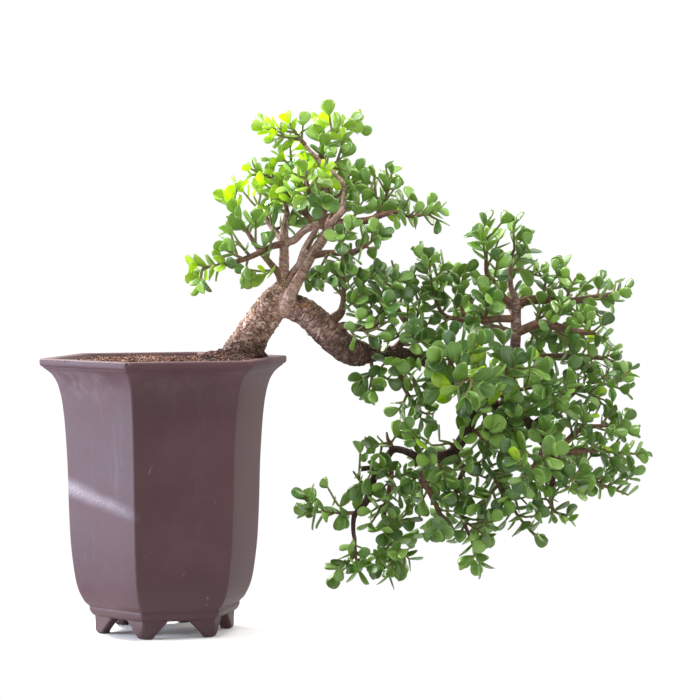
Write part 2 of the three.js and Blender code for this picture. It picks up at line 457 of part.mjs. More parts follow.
// Open places between the leaf clouds, as seen: [x, z, half width, half height]. Nothing grows there at
// any depth.
const clearings = [
    // round the crown
    [86, 441, 12, 11], [128, 439, 6, 8], [173, 428, 8, 11], [162, 413, 8, 5], [73, 411, 6, 6],
    [82, 402, 7, 7], [158, 396, 7, 8], [180, 394, 8, 8], [205, 386, 8, 11], [211, 369, 6, 5],
    [218, 339, 9, 6], [73, 361, 13, 7], [45, 354, 8, 6], [41, 348, 7, 7], [86, 343, 5, 8], [62, 331, 9, 6],
    [75, 333, 8, 7], [75, 301, 5, 8], [37, 322, 7, 5],
    // over and under the cascade's trunk
    [191, 318, 13, 10], [169, 313, 5, 8], [201, 310, 5, 10], [133, 278, 16, 10], [148, 202, 9, 9],
    [186, 197, 11, 8], [189, 176, 7, 9], [170, 173, 13, 13], [155, 152, 7, 10],
    // top and right of the cascade
    [251, 350, 13, 15], [246, 319, 5, 9], [247, 311, 12, 4], [311, 326, 8, 7], [330, 321, 9, 7],
    [352, 306, 13, 8], [379, 302, 13, 8], [381, 248, 8, 11], [391, 227, 6, 5], [382, 194, 7, 7],
    [401, 179, 8, 6], [409, 153, 7, 6], [410, 128, 8, 13], [396, 112, 7, 6], [384, 106, 16, 8],
    // below, and the crescent left of the middle
    [352, 102, 10, 7], [326, 84, 15, 7], [304, 70, 14, 8], [282, 66, 12, 10], [252, 49, 11, 6],
    [239, 65, 7, 9], [225, 71, 18, 5], [200, 85, 10, 5], [172, 77, 9, 7], [137, 87, 9, 6],
    [135, 68, 9, 8], [138, 48, 7, 6], [104, 93, 6, 11], [140, 115, 12, 5], [155, 120, 6, 6],
    [111, 121, 7, 6], [118, 131, 14, 10], [146, 132, 15, 13], [239, 178, 8, 18], [236, 184, 10, 14],
    [234, 160, 11, 7],
];

let seed = 1;

function draw(low, high) {
    seed = (seed * 48271) % 2147483647;
    return low + ((high - low) * seed) / 2147483647;
}

// Space that is taken, as balls sorted into cells
const cells = new Map();

function cellKey(x, y, z) {
    return `${Math.floor(x / cellSize)},${Math.floor(y / cellSize)},${Math.floor(z / cellSize)}`;
}

function takeSpace(at, radius, owner) {
    const key = cellKey(at.x, at.y, at.z);
    if (!cells.has(key)) {
        cells.set(key, []);
    }
    cells.get(key).push({ at, radius, owner });
}

function ballsNear(at, reach) {
    const found = [];
    for (let x = at.x - reach; x < at.x + reach + cellSize; x += cellSize) {
        for (let y = at.y - reach; y < at.y + reach + cellSize; y += cellSize) {
            for (let z = at.z - reach; z < at.z + reach + cellSize; z += cellSize) {
                found.push(...(cells.get(cellKey(x, y, z)) ?? []));
            }
        }
    }
    return found;
}

function takeRun(run, owner, spare) {
    for (let i = 0; i < run.length - 1; i++) {
        const length = run[i].at.distanceTo(run[i + 1].at);
        const parts = Math.ceil(length / 2);
        for (let k = 0; k < parts; k++) {
            const radius = run[i].radius + ((run[i + 1].radius - run[i].radius) * k) / parts;
            takeSpace(run[i].at.clone().lerp(run[i + 1].at, k / parts), radius + spare, owner);
        }
    }
    takeSpace(run[run.length - 1].at, run[run.length - 1].radius + spare, owner);
}

function inClearing(at) {
    const spread = 1 + at.y / eye.distance;
    const x = eye.x + (at.x - eye.x) / spread;
    const z = eye.z + (at.z - eye.z) / spread;
    return clearings.some(([atX, atZ, wide, high]) => ((x - atX) / wide) ** 2 + ((z - atZ) / high) ** 2 < 1);
}

// Half the width of a leaf at a part t of its length: a wedge at the root, widest past the middle
function halfWidth(t, length) {
    const part1 = (Math.min(Math.max(t, 0), 1) / 0.667) ** 0.9;
    const part2 = ((1 - Math.min(Math.max(t, 0), 1)) / 0.333) ** 0.45;
    return (leafWidthRatio * length * part1 * part2) / 2;
}

function leafIsClear(leaf, owner) {
    const middle = leaf.root.clone().addScaledVector(leaf.along, leaf.length / 2);
    const tip = leaf.root.clone().addScaledVector(leaf.along, leaf.length * 0.95);
    if (inClearing(middle) || inClearing(tip)) {
        return false;
    }
    for (const ball of ballsNear(middle, leaf.length / 2 + 5)) {
        const offset = ball.at.clone().sub(leaf.root);
        if (ball.owner === owner && offset.length() < rootFree) {
            continue;
        }
        const spare = ball.radius + bladeGap;
        const u = offset.dot(leaf.along);
        if (Math.abs(offset.dot(leaf.up)) > spare + leafThickness / 2 || u < -spare || u > leaf.length + spare) {
            continue;
        }
        if (Math.abs(offset.dot(leaf.side)) < halfWidth(u / leaf.length, leaf.length) + spare) {
            return false;
        }
    }
    return true;
}

function takeLeaf(leaf, owner) {
    const rows = Math.ceil(leaf.length / 3.4);
    for (let i = 1; i <= rows; i++) {
        const t = (i - 0.35) / rows;
        const half = Math.max(halfWidth(t, leaf.length) - 0.8, 0);
        const columns = Math.max(Math.ceil((2 * half) / 3.4), 1);
        for (let j = 0; j <= columns; j++) {
            const at = leaf.root.clone().addScaledVector(leaf.along, t * leaf.length);
            at.addScaledVector(leaf.side, half * ((2 * j) / columns - 1));
            takeSpace(at, leafThickness / 2, owner);
        }
    }
}

function direction(spot, tilt, turn) {
    return spot.ahead.clone().multiplyScalar(Math.cos(tilt))
        .addScaledVector(spot.normal, Math.sin(tilt) * Math.cos(turn))
        .addScaledVector(spot.across, Math.sin(tilt) * Math.sin(turn));
}

// The spot at a distance along a run
function spotAt(run, distance) {
    let rest = distance;
    for (let i = 0; i < run.length - 1; i++) {
        const length = run[i].at.distanceTo(run[i + 1].at);
        if (rest <= length || i === run.length - 2) {
            const t = Math.min(rest / length, 1);
            return { ...run[i], at: run[i].at.clone().lerp(run[i + 1].at, t) };
        }
        rest -= length;
    }
}

function runLength(run) {
    return run.slice(1).reduce((sum, spot, i) => sum + spot.at.distanceTo(run[i].at), 0);
}

function shootIsClear(run, owner) {
    if (inClearing(run[run.length - 1].at)) {
        return false;
    }
    for (let distance = 3; distance < runLength(run) + 3; distance += 2.5) {
        const { at } = spotAt(run, distance);
        for (const ball of ballsNear(at, 6)) {
            const own = ball.owner === owner && ball.at.distanceTo(run[0].at) < 6;
            if (!own && ball.at.distanceTo(at) < ball.radius + 2.4) {
                return false;
            }
        }
    }
    return true;
}

// Side shoots stand off a stem at golden-angle turns and bend up towards the light.
function growShoots(stem, bare, pitch, leaf, owner) {
    const shoots = [];
    const length = runLength(stem);
    let turn = draw(0, 6.28);
    for (let distance = bare * length + 3; distance < length - 5; distance += pitch) {
        const spot = spotAt(stem, distance);
        const reach = draw(...shootLength) * (leaf / 16);
        for (let attempt = 0; attempt < 7; attempt++) {
            turn += goldenTurn;
            const heading = direction(spot, 0.95, turn);
            const run = [0, 0.5, 1].map((t) => {
                const at = spot.at.clone().addScaledVector(heading, reach * t);
                at.z += 0.22 * reach * t * t;
                return { at, radius: stemTip + 0.45 * (1 - t) };
            });
            addFrames(run);
            if (shootIsClear(run, owner)) {
                takeRun(run, owner, 0);
                shoots.push({ run, side: true, order: shoots.length });
                break;
            }
        }
    }
    return shoots;
}

// Leaves stand in opposite pairs, each pair turned a quarter from the last, from the tip down.
function growLeaves(stem, spray, owner) {
    const leaves = [];
    const length = runLength(stem.run);
    const thin = stem.run.find(({ radius }) => radius < leafyRadius) ?? stem.run[stem.run.length - 1];
    const woody = stem.run.slice(0, stem.run.indexOf(thin) + 1);
    const bare = Math.max(firstLeaf, runLength(woody));
    let turn = draw(0, 6.28);
    let rank = 0;
    for (let distance = length - 0.4; distance > bare; distance -= pairPitch * spray.leaf * draw(0.9, 1.15)) {
        const spot = spotAt(stem.run, distance);
        const tilt = [0.6, 0.9, 1.1][Math.min(rank, 2)];
        for (const half of [0, Math.PI]) {
            const size = spray.leaf * [0.84, 1, 1][Math.min(rank, 2)] * draw(0.8, 1.1);
            const lean = draw(-0.15, 0.15);
            for (let attempt = 0; attempt < leafTilts.length; attempt++) {
                const open = tilt + lean + THREE.MathUtils.degToRad(leafTilts[attempt]);
                const along = direction(spot, open, turn + half);
                along.z += 0.12;
                along.normalize();
                const flat = spot.ahead.clone().addScaledVector(along, -spot.ahead.dot(along)).normalize();
                const twist = THREE.MathUtils.degToRad(leafTwists[attempt]) + lean;
                const up = flat.applyAxisAngle(along, twist);
                const side = up.clone().cross(along);
                const leaf = { root: spot.at, along, up, side, length: size, rank };
                if (leafIsClear(leaf, owner)) {
                    takeLeaf(leaf, owner);
                    leaves.push(leaf);
                    break;
                }
            }
        }
        turn += Math.PI / 2;
        rank += 1;
    }
    return leaves;
}

// Gives the points past the last radius of a stem the radii that taper to its tip.
function tapered(points) {
    const given = points.filter((point) => point.length > 3).length;
    const last = Math.max(given - 1, 0);
    const root = given ? points[last][3] : sideStem;
    return points.map(([x, y, z, radius], k) => {
        const t = (k - last) / (points.length - 1 - last);
        return [x, y, z, radius ?? root + (stemTip - root) * t];
    });
}

function growAll() {
    for (const limb of [trunk, cascade, ...limbs]) {
        takeRun(smoothRun(limb, 3), -1, 0.8);
    }
    for (const index of openLimbs) {
        for (const { at, radius } of smoothRun(limbs[index], 2)) {
            for (let nearer = 5; nearer <= openDepth; nearer += 5) {
                takeSpace(new THREE.Vector3(at.x, at.y - nearer, at.z), radius * 0.8, -1);
            }
        }
    }
    const grown = sprays.map((spray, owner) => {
        const stems = spray.stems.map((points) => {
            const run = addFrames(smoothRun(tapered(points), 1));
            takeRun(run, owner, 0);
            return { run, side: false };
        });
        return { spray, owner, stems };
    });
    for (const bush of grown) {
        seed = 100 + 37 * bush.owner;
        const { bare, pitch = shootPitch, leaf } = bush.spray;
        for (const [i, stem] of [...bush.stems].entries()) {
            bush.stems.push(...growShoots(stem.run, i ? 0.2 : bare, pitch, leaf, bush.owner));
        }
    }
    for (const bush of grown) {
        seed = 5000 + 91 * bush.owner;
        for (const stem of bush.stems) {
            stem.leaves = growLeaves(stem, bush.spray, bush.owner);
        }
    }
    return grown;
}

// A fleshy blade: a thin lens over an outline that is widest past the middle
function bladeSolid({ root, along, up, side, length }) {
    const edge = [[0.5, halfWidth(0.55, length)], [0.9, halfWidth(0.9, length)]];
    const outline = [[0, 0], ...edge, ...edge.toReversed().map(([t, half]) => [t, -half])];
    const spots = outline.map(([t, half]) => [t * length, half, 0]);
    spots.push([0.6 * length, 0, leafThickness / 2], [0.6 * length, 0, -leafThickness / 2]);
    const vertices = new Float32Array(spots.flatMap(([u, v, w]) => {
        return root.clone().addScaledVector(along, u).addScaledVector(side, v).addScaledVector(up, w).toArray();
    }));
    const triangles = [];
    const count = outline.length;
    for (let i = 0; i < count; i++) {
        const next = (i + 1) % count;
        triangles.push(i, count, next, i, next, count + 1);
    }
    return new wasm.Manifold(new wasm.Mesh({
        numProp: 3,
        vertProperties: vertices,
        triVerts: new Uint32Array(triangles),
    }));
}

// The solids keep every eighth side shoot, the leaves at the tips and each sixth pair down a stem.
function isKept(stem, owner) {
    return !stem.side || (stem.order + owner) % 8 === 0;
}

function leavesKept(stem) {
    return stem.leaves.filter((leaf) => leaf.rank % 6 === 0);
}

function makeSpray(bush, woodSpace) {
    const solids = [];
    for (const stem of bush.stems.filter((each) => isKept(each, bush.owner))) {
        const run = stem.side ? [stem.run[0], stem.run[stem.run.length - 1]] : stem.run;
        solids.push(bentCylinder(run, run[0].radius > woodyRadius ? 4 : 3, stemSpare));
        solids.push(...leavesKept(stem).map(bladeSolid));
    }
    return largestBody(joinAll(solids).subtract(woodSpace));
}

const grown = growAll();
const wood = makeWood(0);
const woodSpace = makeWood(clearance);

// Soil fills the pot to below its rim and heaps up round the trunk.
function makeSoil() {
    const bottom = floorTop + clearance;
    const wall = potInside.filter(([, z]) => z > floorTop && z < soilLevel);
    const side = wall.map(([radius, z]) => [radius - 2 * clearance, z]).toReversed();
    const surface = [90, 70, 48, 28, 0].map((radius) => [radius, soilLevel]);
    const plug = hexTurned([[0, bottom], [51.4, bottom], ...side, ...surface], 0);
    const position = plug.attributes.position;
    for (let i = 0; i < position.count; i++) {
        const x = position.getX(i);
        const y = position.getY(i);
        if (position.getZ(i) > soilLevel - 0.1) {
            const away = Math.hypot(x - trunkFoot.x, y - trunkFoot.y);
            const ripple = 0.9 * Math.sin(0.11 * x + 1) * Math.cos(0.13 * y);
            position.setZ(i, soilLevel + moundHeight * Math.exp(-((away / 32) ** 2)) + ripple);
        }
    }
    const spaceSide = meshSide + 2 * clearance;
    const meshSpace = new THREE.BoxGeometry(spaceSide, spaceSide, meshThickness + 2 * clearance);
    meshSpace.rotateZ(THREE.MathUtils.degToRad(potTurn));
    meshSpace.translate(0, 0, bottom + meshThickness / 2);
    return toSolid(plug).subtract(toSolid(meshSpace)).subtract(woodSpace);
}

addPiece('pot', toGeometry(makePot()), 'clay');
addPiece('drain_mesh', toGeometry(makeDrainMesh()), 'plastic');
addPiece('soil', toGeometry(makeSoil()), 'soil');
addPiece('wood', toGeometry(wood), 'bark');
for (const bush of grown) {
    const name = `spray_${String(bush.owner + 1).padStart(2, '0')}`;
    addPiece(name, toGeometry(makeSpray(bush, woodSpace)), 'leaf');
}

// The origin is the middle of the whole plant's footprint, on the floor.
const box = new THREE.Box3().setFromObject(part, true);
part.position.set(-(box.min.x + box.max.x) / 2, -(box.min.y + box.max.y) / 2, -box.min.z);

export default part;
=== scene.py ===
import json
import math

import bmesh
import bpy
import numpy as np
from mathutils import Matrix, Vector, kdtree, noise

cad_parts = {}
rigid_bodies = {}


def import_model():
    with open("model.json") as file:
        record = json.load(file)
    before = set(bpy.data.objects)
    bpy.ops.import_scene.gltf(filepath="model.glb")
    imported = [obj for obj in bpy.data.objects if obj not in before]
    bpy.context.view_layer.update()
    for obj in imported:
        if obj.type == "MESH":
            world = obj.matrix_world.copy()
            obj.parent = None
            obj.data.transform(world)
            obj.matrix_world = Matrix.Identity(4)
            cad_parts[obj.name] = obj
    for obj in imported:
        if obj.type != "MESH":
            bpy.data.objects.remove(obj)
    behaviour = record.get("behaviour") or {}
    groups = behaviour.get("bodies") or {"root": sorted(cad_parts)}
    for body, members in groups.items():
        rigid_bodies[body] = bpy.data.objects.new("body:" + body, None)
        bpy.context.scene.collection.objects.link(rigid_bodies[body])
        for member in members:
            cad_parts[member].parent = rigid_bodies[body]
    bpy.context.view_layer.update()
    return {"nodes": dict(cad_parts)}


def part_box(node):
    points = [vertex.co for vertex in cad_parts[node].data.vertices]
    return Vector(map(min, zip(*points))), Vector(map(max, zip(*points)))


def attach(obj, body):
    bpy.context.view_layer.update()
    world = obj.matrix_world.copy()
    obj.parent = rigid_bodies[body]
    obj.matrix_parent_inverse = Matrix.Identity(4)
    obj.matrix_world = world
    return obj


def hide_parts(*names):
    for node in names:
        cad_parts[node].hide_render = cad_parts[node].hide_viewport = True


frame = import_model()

# Cascade dwarf jade bonsai in a tall six-sided clay pot. Paths are in millimetres round the pot's axis,
# and go into the frame's metres by toFrame or intoFrame.
mm = 0.001
potLow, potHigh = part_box("pot")
potAxis = (potLow.x + potHigh.x) / 2
intoFrame = Matrix.Translation((potAxis, 0, 0)) @ Matrix.Scale(mm, 4)
scene = bpy.context.scene


def toFrame(point):
    return Vector((potAxis + point[0] * mm, point[1] * mm, point[2] * mm))


# Camera where the photograph was taken from
cameraView = {"at": (155.3, -2443, 343.4), "down": 0.044, "lens": 150.27, "sensor": 36, "near": 0.05, "far": 50}
camera = bpy.data.objects.new("camera", bpy.data.cameras.new("camera"))
camera.location = toFrame(cameraView["at"])
camera.rotation_euler = (math.pi / 2 - cameraView["down"], 0, 0)
camera.data.lens = cameraView["lens"]
camera.data.sensor_width = cameraView["sensor"]
camera.data.clip_start = cameraView["near"]
camera.data.clip_end = cameraView["far"]
scene.collection.objects.link(camera)
scene.camera = camera


# Materials

class Wire:
    # a shader socket that can stand in a sum
    def __init__(self, paint, socket):
        self.paint = paint
        self.socket = socket

    def math(self, operation, *values):
        return self.paint.node("Math", {"operation": operation}, dict(enumerate(values)))

    def __add__(self, other):
        return self.math("ADD", self, other)

    def __sub__(self, other):
        return self.math("SUBTRACT", self, other)

    def __rsub__(self, other):
        return self.math("SUBTRACT", other, self)

    def __mul__(self, other):
        return self.math("MULTIPLY", self, other)

    def __pow__(self, other):
        return self.math("POWER", self, other)

    def __abs__(self):
        return self.math("ABSOLUTE", self)

    __radd__ = __add__
    __rmul__ = __mul__

    def out(self, name):
        return Wire(self.paint, self.socket.node.outputs[name])


class Paint:
    # the node tree of one material, or of the world
    def __init__(self, name, kind="materials"):
        self.owner = getattr(bpy.data, kind).new(name)
        self.owner.use_nodes = True
        self.tree = self.owner.node_tree
        self.tree.nodes.clear()

    def node(self, kind, settings, values):
        made = self.tree.nodes.new("ShaderNode" + kind)
        for key, value in settings.items():
            if key == "stops":
                fillRamp(made.color_ramp, value)
            else:
                setattr(made, key, value)
        for key, value in values.items():
            if isinstance(value, Wire):
                self.tree.links.new(value.socket, made.inputs[key])
            else:
                made.inputs[key].default_value = value
        return Wire(self, made.outputs[0]) if made.outputs else made

    # what most materials start from
    def place(self):
        return self.node("TexCoord", {}, {}).out("Object")

    def stretch(self, vector, scale):
        return self.node("Mapping", {}, {"Vector": vector, "Scale": scale})

    def vector(self, operation, *values):
        return self.node("VectorMath", {"operation": operation}, dict(enumerate(values)))

    def split(self, vector):
        return self.node("SeparateXYZ", {}, {"Vector": vector})

    def noise(self, vector, scale, detail=4.0, roughness=0.5):
        values = {"Vector": vector, "Scale": scale, "Detail": detail, "Roughness": roughness}
        return self.node("TexNoise", {}, values)

    def attribute(self, name, output="Fac"):
        return self.node("Attribute", {"attribute_name": name}, {}).out(output)

    def ramp(self, value, *stops):
        return self.node("ValToRGB", {"stops": stops}, {"Fac": value})

    def rise(self, value, low, high):
        values = {"Value": value, "From Min": low, "From Max": high}
        return self.node("MapRange", {"interpolation_type": "SMOOTHSTEP"}, values)

    # noise as patches with soft edges
    def patches(self, vector, scale, detail, roughness, low, high):
        return self.rise(self.noise(vector, scale, detail, roughness), low, high)

    def blend(self, factor, first, second):
        made = self.node("Mix", {"data_type": "RGBA"}, {0: factor, 6: first, 7: second})
        return Wire(self, made.socket.node.outputs[2])

    def bump(self, height, strength, distance):
        return self.node("Bump", {}, {"Height": height, "Strength": strength, "Distance": distance})

    def principled(self, colour, roughness, normal, specular=0.3):
        return self.node("BsdfPrincipled", {}, {
            "Base Color": colour, "Roughness": roughness, "Normal": normal, "Specular IOR Level": specular,
        })

    def finish(self, shader, output="OutputMaterial"):
        self.node(output, {}, {"Surface": shader})
        return self.owner


def fillRamp(ramp, stops):
    while len(ramp.elements) < len(stops):
        ramp.elements.new(1.0)
    for element, (position, colour) in zip(ramp.elements, stops):
        element.position = position
        element.color = colour


# Clay: purple-brown and matt, with a band of painted light across one side, dust under the lip that is made
# stronger on that side as painted light, scratches and pits
def makeClay():
    look = {
        "dark": (0.071, 0.031, 0.037, 1), "light": (0.097, 0.046, 0.053, 1), "dust": (0.34, 0.27, 0.29, 1),
        "low": (0.052, 0.027, 0.026, 1), "speck": (0.035, 0.018, 0.02, 1), "paintedLightBand": (0.62, 0.56, 0.60, 1),
        "roughness": 0.57, "specular": 0.34, "grain": 900, "pits": 170.0,
        "scratches": ((0.5, 21), (-0.35, 26), (1.1, 17)),  # lean, fineness
        # the band of painted light, in metres: height on the axis, fall along x, half width there, its growth
        # along x
        "band": {"height": 0.1008, "fall": 0.347, "half": 0.0085, "widens": 0.045, "ragged": 0.008},
        "darkBelow": 0.085, "neck": (0.185, 0.212, 0.219, 0.224),
    }
    paint = Paint("unglazedClay")
    place = paint.place()
    clouds = paint.noise(place, 16, 5, 0.6)
    cloudy = paint.rise(clouds, 0.3, 0.7)
    body = paint.blend(cloudy, look["dark"], look["light"])
    body = paint.blend(paint.patches(place, 700, 2, 0.5, 0.63, 0.7) * 0.3, body, look["speck"])
    smear = paint.patches(paint.stretch(place, (60, 60, 9)), 1, 6, 0.62, 0.56, 0.8)
    body = paint.blend(smear * 0.12, body, look["dust"])
    for turn, size in look["scratches"]:
        lean = paint.node("Mapping", {}, {"Vector": place, "Rotation": (0.2, turn, 0.1)})
        streak = paint.patches(paint.stretch(lean, (size * 16, size * 16, size)), 1, 1, 0.4, 0.745, 0.78)
        body = paint.blend(streak * paint.patches(lean, 24, 2, 0.5, 0.60, 0.68) * 0.35, body, look["dust"])
    parts = paint.split(place)
    x, z = parts.out("X") - potAxis, parts.out("Z")
    band = look["band"]
    # painted light: a pale band across the left face stands in for a beam of light falling across it
    level = z + x * band["fall"] + paint.noise(place, 30, 2, 0.5) * band["ragged"] - band["height"]
    paintedLightBand = (1 - paint.rise(abs(level), 0.0, band["half"] - x * band["widens"])) ** 1.6
    paintedLightBand = paintedLightBand * paint.rise(0 - parts.out("Y"), 0.0, 0.03)
    paintedLightBand = paintedLightBand * (1 - paint.rise(x, -0.032, -0.012)) * (1 - paint.rise(x, -0.095, -0.02) * 0.45)
    paintedLightBand = paintedLightBand * (0.15 + cloudy * 0.2 + paint.patches(place, 800, 2, 0.6, 0.4, 0.7) * 0.25)
    body = paint.blend(paintedLightBand, body, look["paintedLightBand"])
    body = paint.blend((1 - paint.rise(z, 0.0, look["darkBelow"])) * 0.45, body, look["low"])
    # dust under the lip, made stronger on the left side: partly real dust, partly painted light from the left
    starts, full, fades, ends = look["neck"]
    neck = paint.rise(z, starts, full) * (1 - paint.rise(z, fades, ends)) * (1 - paint.rise(x, -0.06, -0.03) * 0.7)
    body = paint.blend(neck * (0.05 + paint.patches(place, 70, 5, 0.65, 0.35, 0.65) * 0.16), body, look["dust"])
    height = paint.noise(place, look["grain"], 3, 0.6) * 0.5 + paint.noise(place, 55, 4, 0.55) * 1.2
    pits = paint.node("TexVoronoi", {}, {"Vector": place, "Scale": look["pits"]})
    pits = (1 - paint.rise(pits, 0.06, 0.16)) * paint.patches(place, 40, 3, 0.5, 0.52, 0.62)
    body = paint.blend(pits * 0.7, body, look["low"])
    normal = paint.bump(height - pits * 1.5, 0.35, 0.0006)
    return paint.finish(paint.principled(body, look["roughness"] + cloudy * 0.1, normal, look["specular"]))


# Soil: grainTone is a number for each grain. It is damp and dark round the foot of the trunk.
def makeSoilLook():
    look = {
        "dark": (0.022, 0.009, 0.008, 1), "brown": (0.105, 0.040, 0.027, 1), "tan": (0.300, 0.140, 0.088, 1),
        "pale": (0.560, 0.370, 0.280, 1), "damp": (0.050, 0.022, 0.018, 1), "dampAt": (66, 0, 234),
    }
    paint = Paint("pottingSoil")
    place = paint.place()
    tone = paint.attribute("grainTone") * 0.75 + paint.patches(place, 60, 3, 0.5, 0.35, 0.65) * 0.25
    body = paint.ramp(paint.rise(tone, 0.1, 0.95), (0.0, look["dark"]), (0.4, look["brown"]), (0.88, look["tan"]),
        (1.0, look["pale"]))
    apart = paint.vector("DISTANCE", place, toFrame(look["dampAt"])).out("Value")
    body = paint.blend((1 - paint.rise(apart, 0.018, 0.046)) * 0.75, body, look["damp"])
    grit = paint.noise(place, 1500, 3, 0.6)
    body = paint.blend(paint.rise(grit, 0.35, 0.7) * 0.4, body, look["dark"])
    roughness = 0.8 + paint.rise(grit, 0.3, 0.7) * 0.15
    return paint.finish(paint.principled(body, roughness, paint.bump(grit, 0.6, 0.0005)))


def makeDrainLook():
    look = {"dark": (0.012, 0.013, 0.012, 1), "light": (0.03, 0.032, 0.03, 1), "specular": 0.5}
    paint = Paint("drainPlastic")
    grain = paint.noise(paint.place(), 800, 3, 0.5)
    body = paint.blend(grain, look["dark"], look["light"])
    normal = paint.bump(grain, 0.2, 0.0002)
    return paint.finish(paint.principled(body, 0.5 + grain * 0.2, normal, look["specular"]))


# Bark: barkTone runs from the tan trunk through the reddish cascade to the dark lower limbs, barkRough is
# how flaky it is, barkGap how deep a spot lies between flakes, barkRun the place along and round a limb,
# and flakeEdge is 1 at the edge of a loose scale.
def makeBark():
    look = {
        "tan": ((0.150, 0.080, 0.055, 1), (0.400, 0.235, 0.168, 1), (0.720, 0.540, 0.440, 1)),
        "red": ((0.115, 0.055, 0.040, 1), (0.340, 0.205, 0.160, 1), (0.680, 0.500, 0.420, 1)),
        "dark": ((0.045, 0.024, 0.023, 1), (0.145, 0.088, 0.082, 1), (0.330, 0.235, 0.215, 1)),
        "smooth": (0.360, 0.235, 0.205, 1), "crevice": (0.055, 0.026, 0.018, 1), "ring": (0.14, 0.075, 0.06, 1),
        "papery": (0.700, 0.540, 0.420, 1), "pale": (0.680, 0.560, 0.520, 1), "stain": (0.120, 0.050, 0.042, 1),
        "damp": (0.045, 0.020, 0.015, 1), "flakeSize": (150, 150, 360), "warp": 0.004,
        # scars, hollows and cut ends in the wood: place, half size, colour, how ragged the edge is
        "marks": (
            ((113, -9, 281), (3.6, 12, 5.5), (0.022, 0.010, 0.008, 1), 0.9),
            ((119, -10, 273), (8, 9, 2.2), (0.42, 0.20, 0.10, 1), 2.2),
            ((126, -10, 268), (5, 9, 1.6), (0.40, 0.20, 0.11, 1), 2.2),
            ((134, -6, 331), (2.6, 6, 4), (0.30, 0.10, 0.05, 1), 1.4),
            ((152, -8, 354.5), (3, 4, 3), (0.02, 0.012, 0.01, 1), 1.0),
            ((183, -9, 236), (5, 8, 3), (0.34, 0.25, 0.23, 1), 1.8),
        ),
    }
    paint = Paint("bark")
    place = paint.place()
    along = paint.attribute("barkRun", "Vector")
    tone, rough, gap = (paint.attribute(name) for name in ("barkTone", "barkRough", "barkGap"))
    warp = paint.vector("MULTIPLY_ADD", paint.noise(along, 260, 3, 0.6).out("Color"), [look["warp"]] * 3, along)
    cells = paint.stretch(warp, look["flakeSize"])
    flake = paint.node("TexVoronoi", {}, {"Vector": cells, "Scale": 1.0}).out("Color")
    edge = paint.node("TexVoronoi", {"feature": "DISTANCE_TO_EDGE"}, {"Vector": cells, "Scale": 1.0})
    crack = (1 - paint.rise(edge, 0.02, 0.2)) * paint.patches(place, 180, 3, 0.5, 0.34, 0.52) * rough
    wrinkles = paint.noise(paint.stretch(along, (0.28, 0.28, 1)), 560, 6, 0.68)
    grain = paint.noise(place, 900, 6, 0.7)
    patches = paint.noise(place, 70, 4, 0.6)
    level = wrinkles * 0.5 + grain * 0.25 + patches * 0.25 + (flake - 0.5) * rough * 0.12
    shades = []
    for name in ("tan", "red", "dark"):
        first, middle, last = look[name]
        shades.append(paint.ramp(paint.rise(level, 0.36, 0.64), (0.0, first), (0.5, middle), (1.0, last)))
    body = paint.blend(paint.rise(tone, 0.1, 0.45), shades[0], shades[1])
    body = paint.blend(paint.rise(tone, 0.55, 0.95), body, shades[2])
    # the smooth limbs: paler, with pale streaks that are partly painted highlights, stains and growth rings
    plain = (1 - paint.rise(rough, 0.3, 0.7)) * (1 - paint.rise(tone, 0.4, 0.7))
    rings = paint.noise(paint.stretch(along, (0.12, 0.12, 1)), 520, 3, 0.5)
    body = paint.blend(plain * 0.35, body, look["smooth"])
    # pale streaks along the smooth limbs: partly paler bark, partly painted highlights
    streaksAndHighlights = paint.patches(paint.stretch(along, (1, 1, 0.16)), 330, 4, 0.6, 0.54, 0.66)
    body = paint.blend(plain * streaksAndHighlights * 0.75, body, look["pale"])
    body = paint.blend(plain * paint.patches(place, 130, 3, 0.6, 0.56, 0.68) * 0.6, body, look["stain"])
    body = paint.blend(plain * paint.rise(rings, 0.58, 0.68) * 0.6, body, look["ring"])
    body = paint.blend(crack * 0.62, body, look["crevice"])
    body = paint.blend(paint.rise(gap, 0.3, 1.0) * 0.3, body, look["crevice"])
    low = paint.split(place).out("Z") + patches * 0.02
    damp = (1 - paint.rise(low, 0.244, 0.268)) * paint.rise(grain, 0.36, 0.5)
    body = paint.blend(damp * 0.85, body, look["damp"])
    body = paint.blend(paint.attribute("flakeEdge") * rough * 0.22, body, look["papery"])
    for point, size, colour, ragged in look["marks"]:
        near = paint.vector("SUBTRACT", place, toFrame(point))
        near = paint.vector("DIVIDE", near, [each * mm for each in size])
        near = paint.vector("LENGTH", near).out("Value") + (grain - 0.5) * ragged
        body = paint.blend((1 - paint.rise(near, 0.5, 1.1)) * 0.85, body, colour)
    height = level * (0.35 + rough) - crack * 0.35 + rings * (1 - rough) * 0.4
    roughness = 0.74 + paint.rise(grain, 0.3, 0.7) * 0.2
    return paint.finish(paint.principled(body, roughness, paint.bump(height, 0.9, 0.0018)))


# Shoots: brown where woody, greener where thin. shootRadius is the radius in millimetres.
def makeShootLook():
    look = {
        "young": (0.165, 0.190, 0.055, 1), "brown": (0.21, 0.105, 0.062, 1), "dark": (0.085, 0.043, 0.032, 1),
        "worn": (0.42, 0.29, 0.22, 1), "woodyFrom": (0.95, 1.7), "specular": 0.4,
    }
    paint = Paint("shoots")
    place = paint.place()
    knots = paint.noise(place, 300, 5, 0.65)
    wood = paint.blend(paint.rise(knots, 0.35, 0.65), look["dark"], look["brown"])
    wood = paint.blend(paint.patches(place, 700, 4, 0.6, 0.58, 0.72) * 0.5, wood, look["worn"])
    woody = paint.rise(paint.attribute("shootRadius"), *look["woodyFrom"])
    body = paint.blend(woody, look["young"], wood)
    normal = paint.bump(knots, 0.6, 0.0008)
    return paint.finish(paint.principled(body, 0.6 + knots * 0.2, normal, look["specular"]))
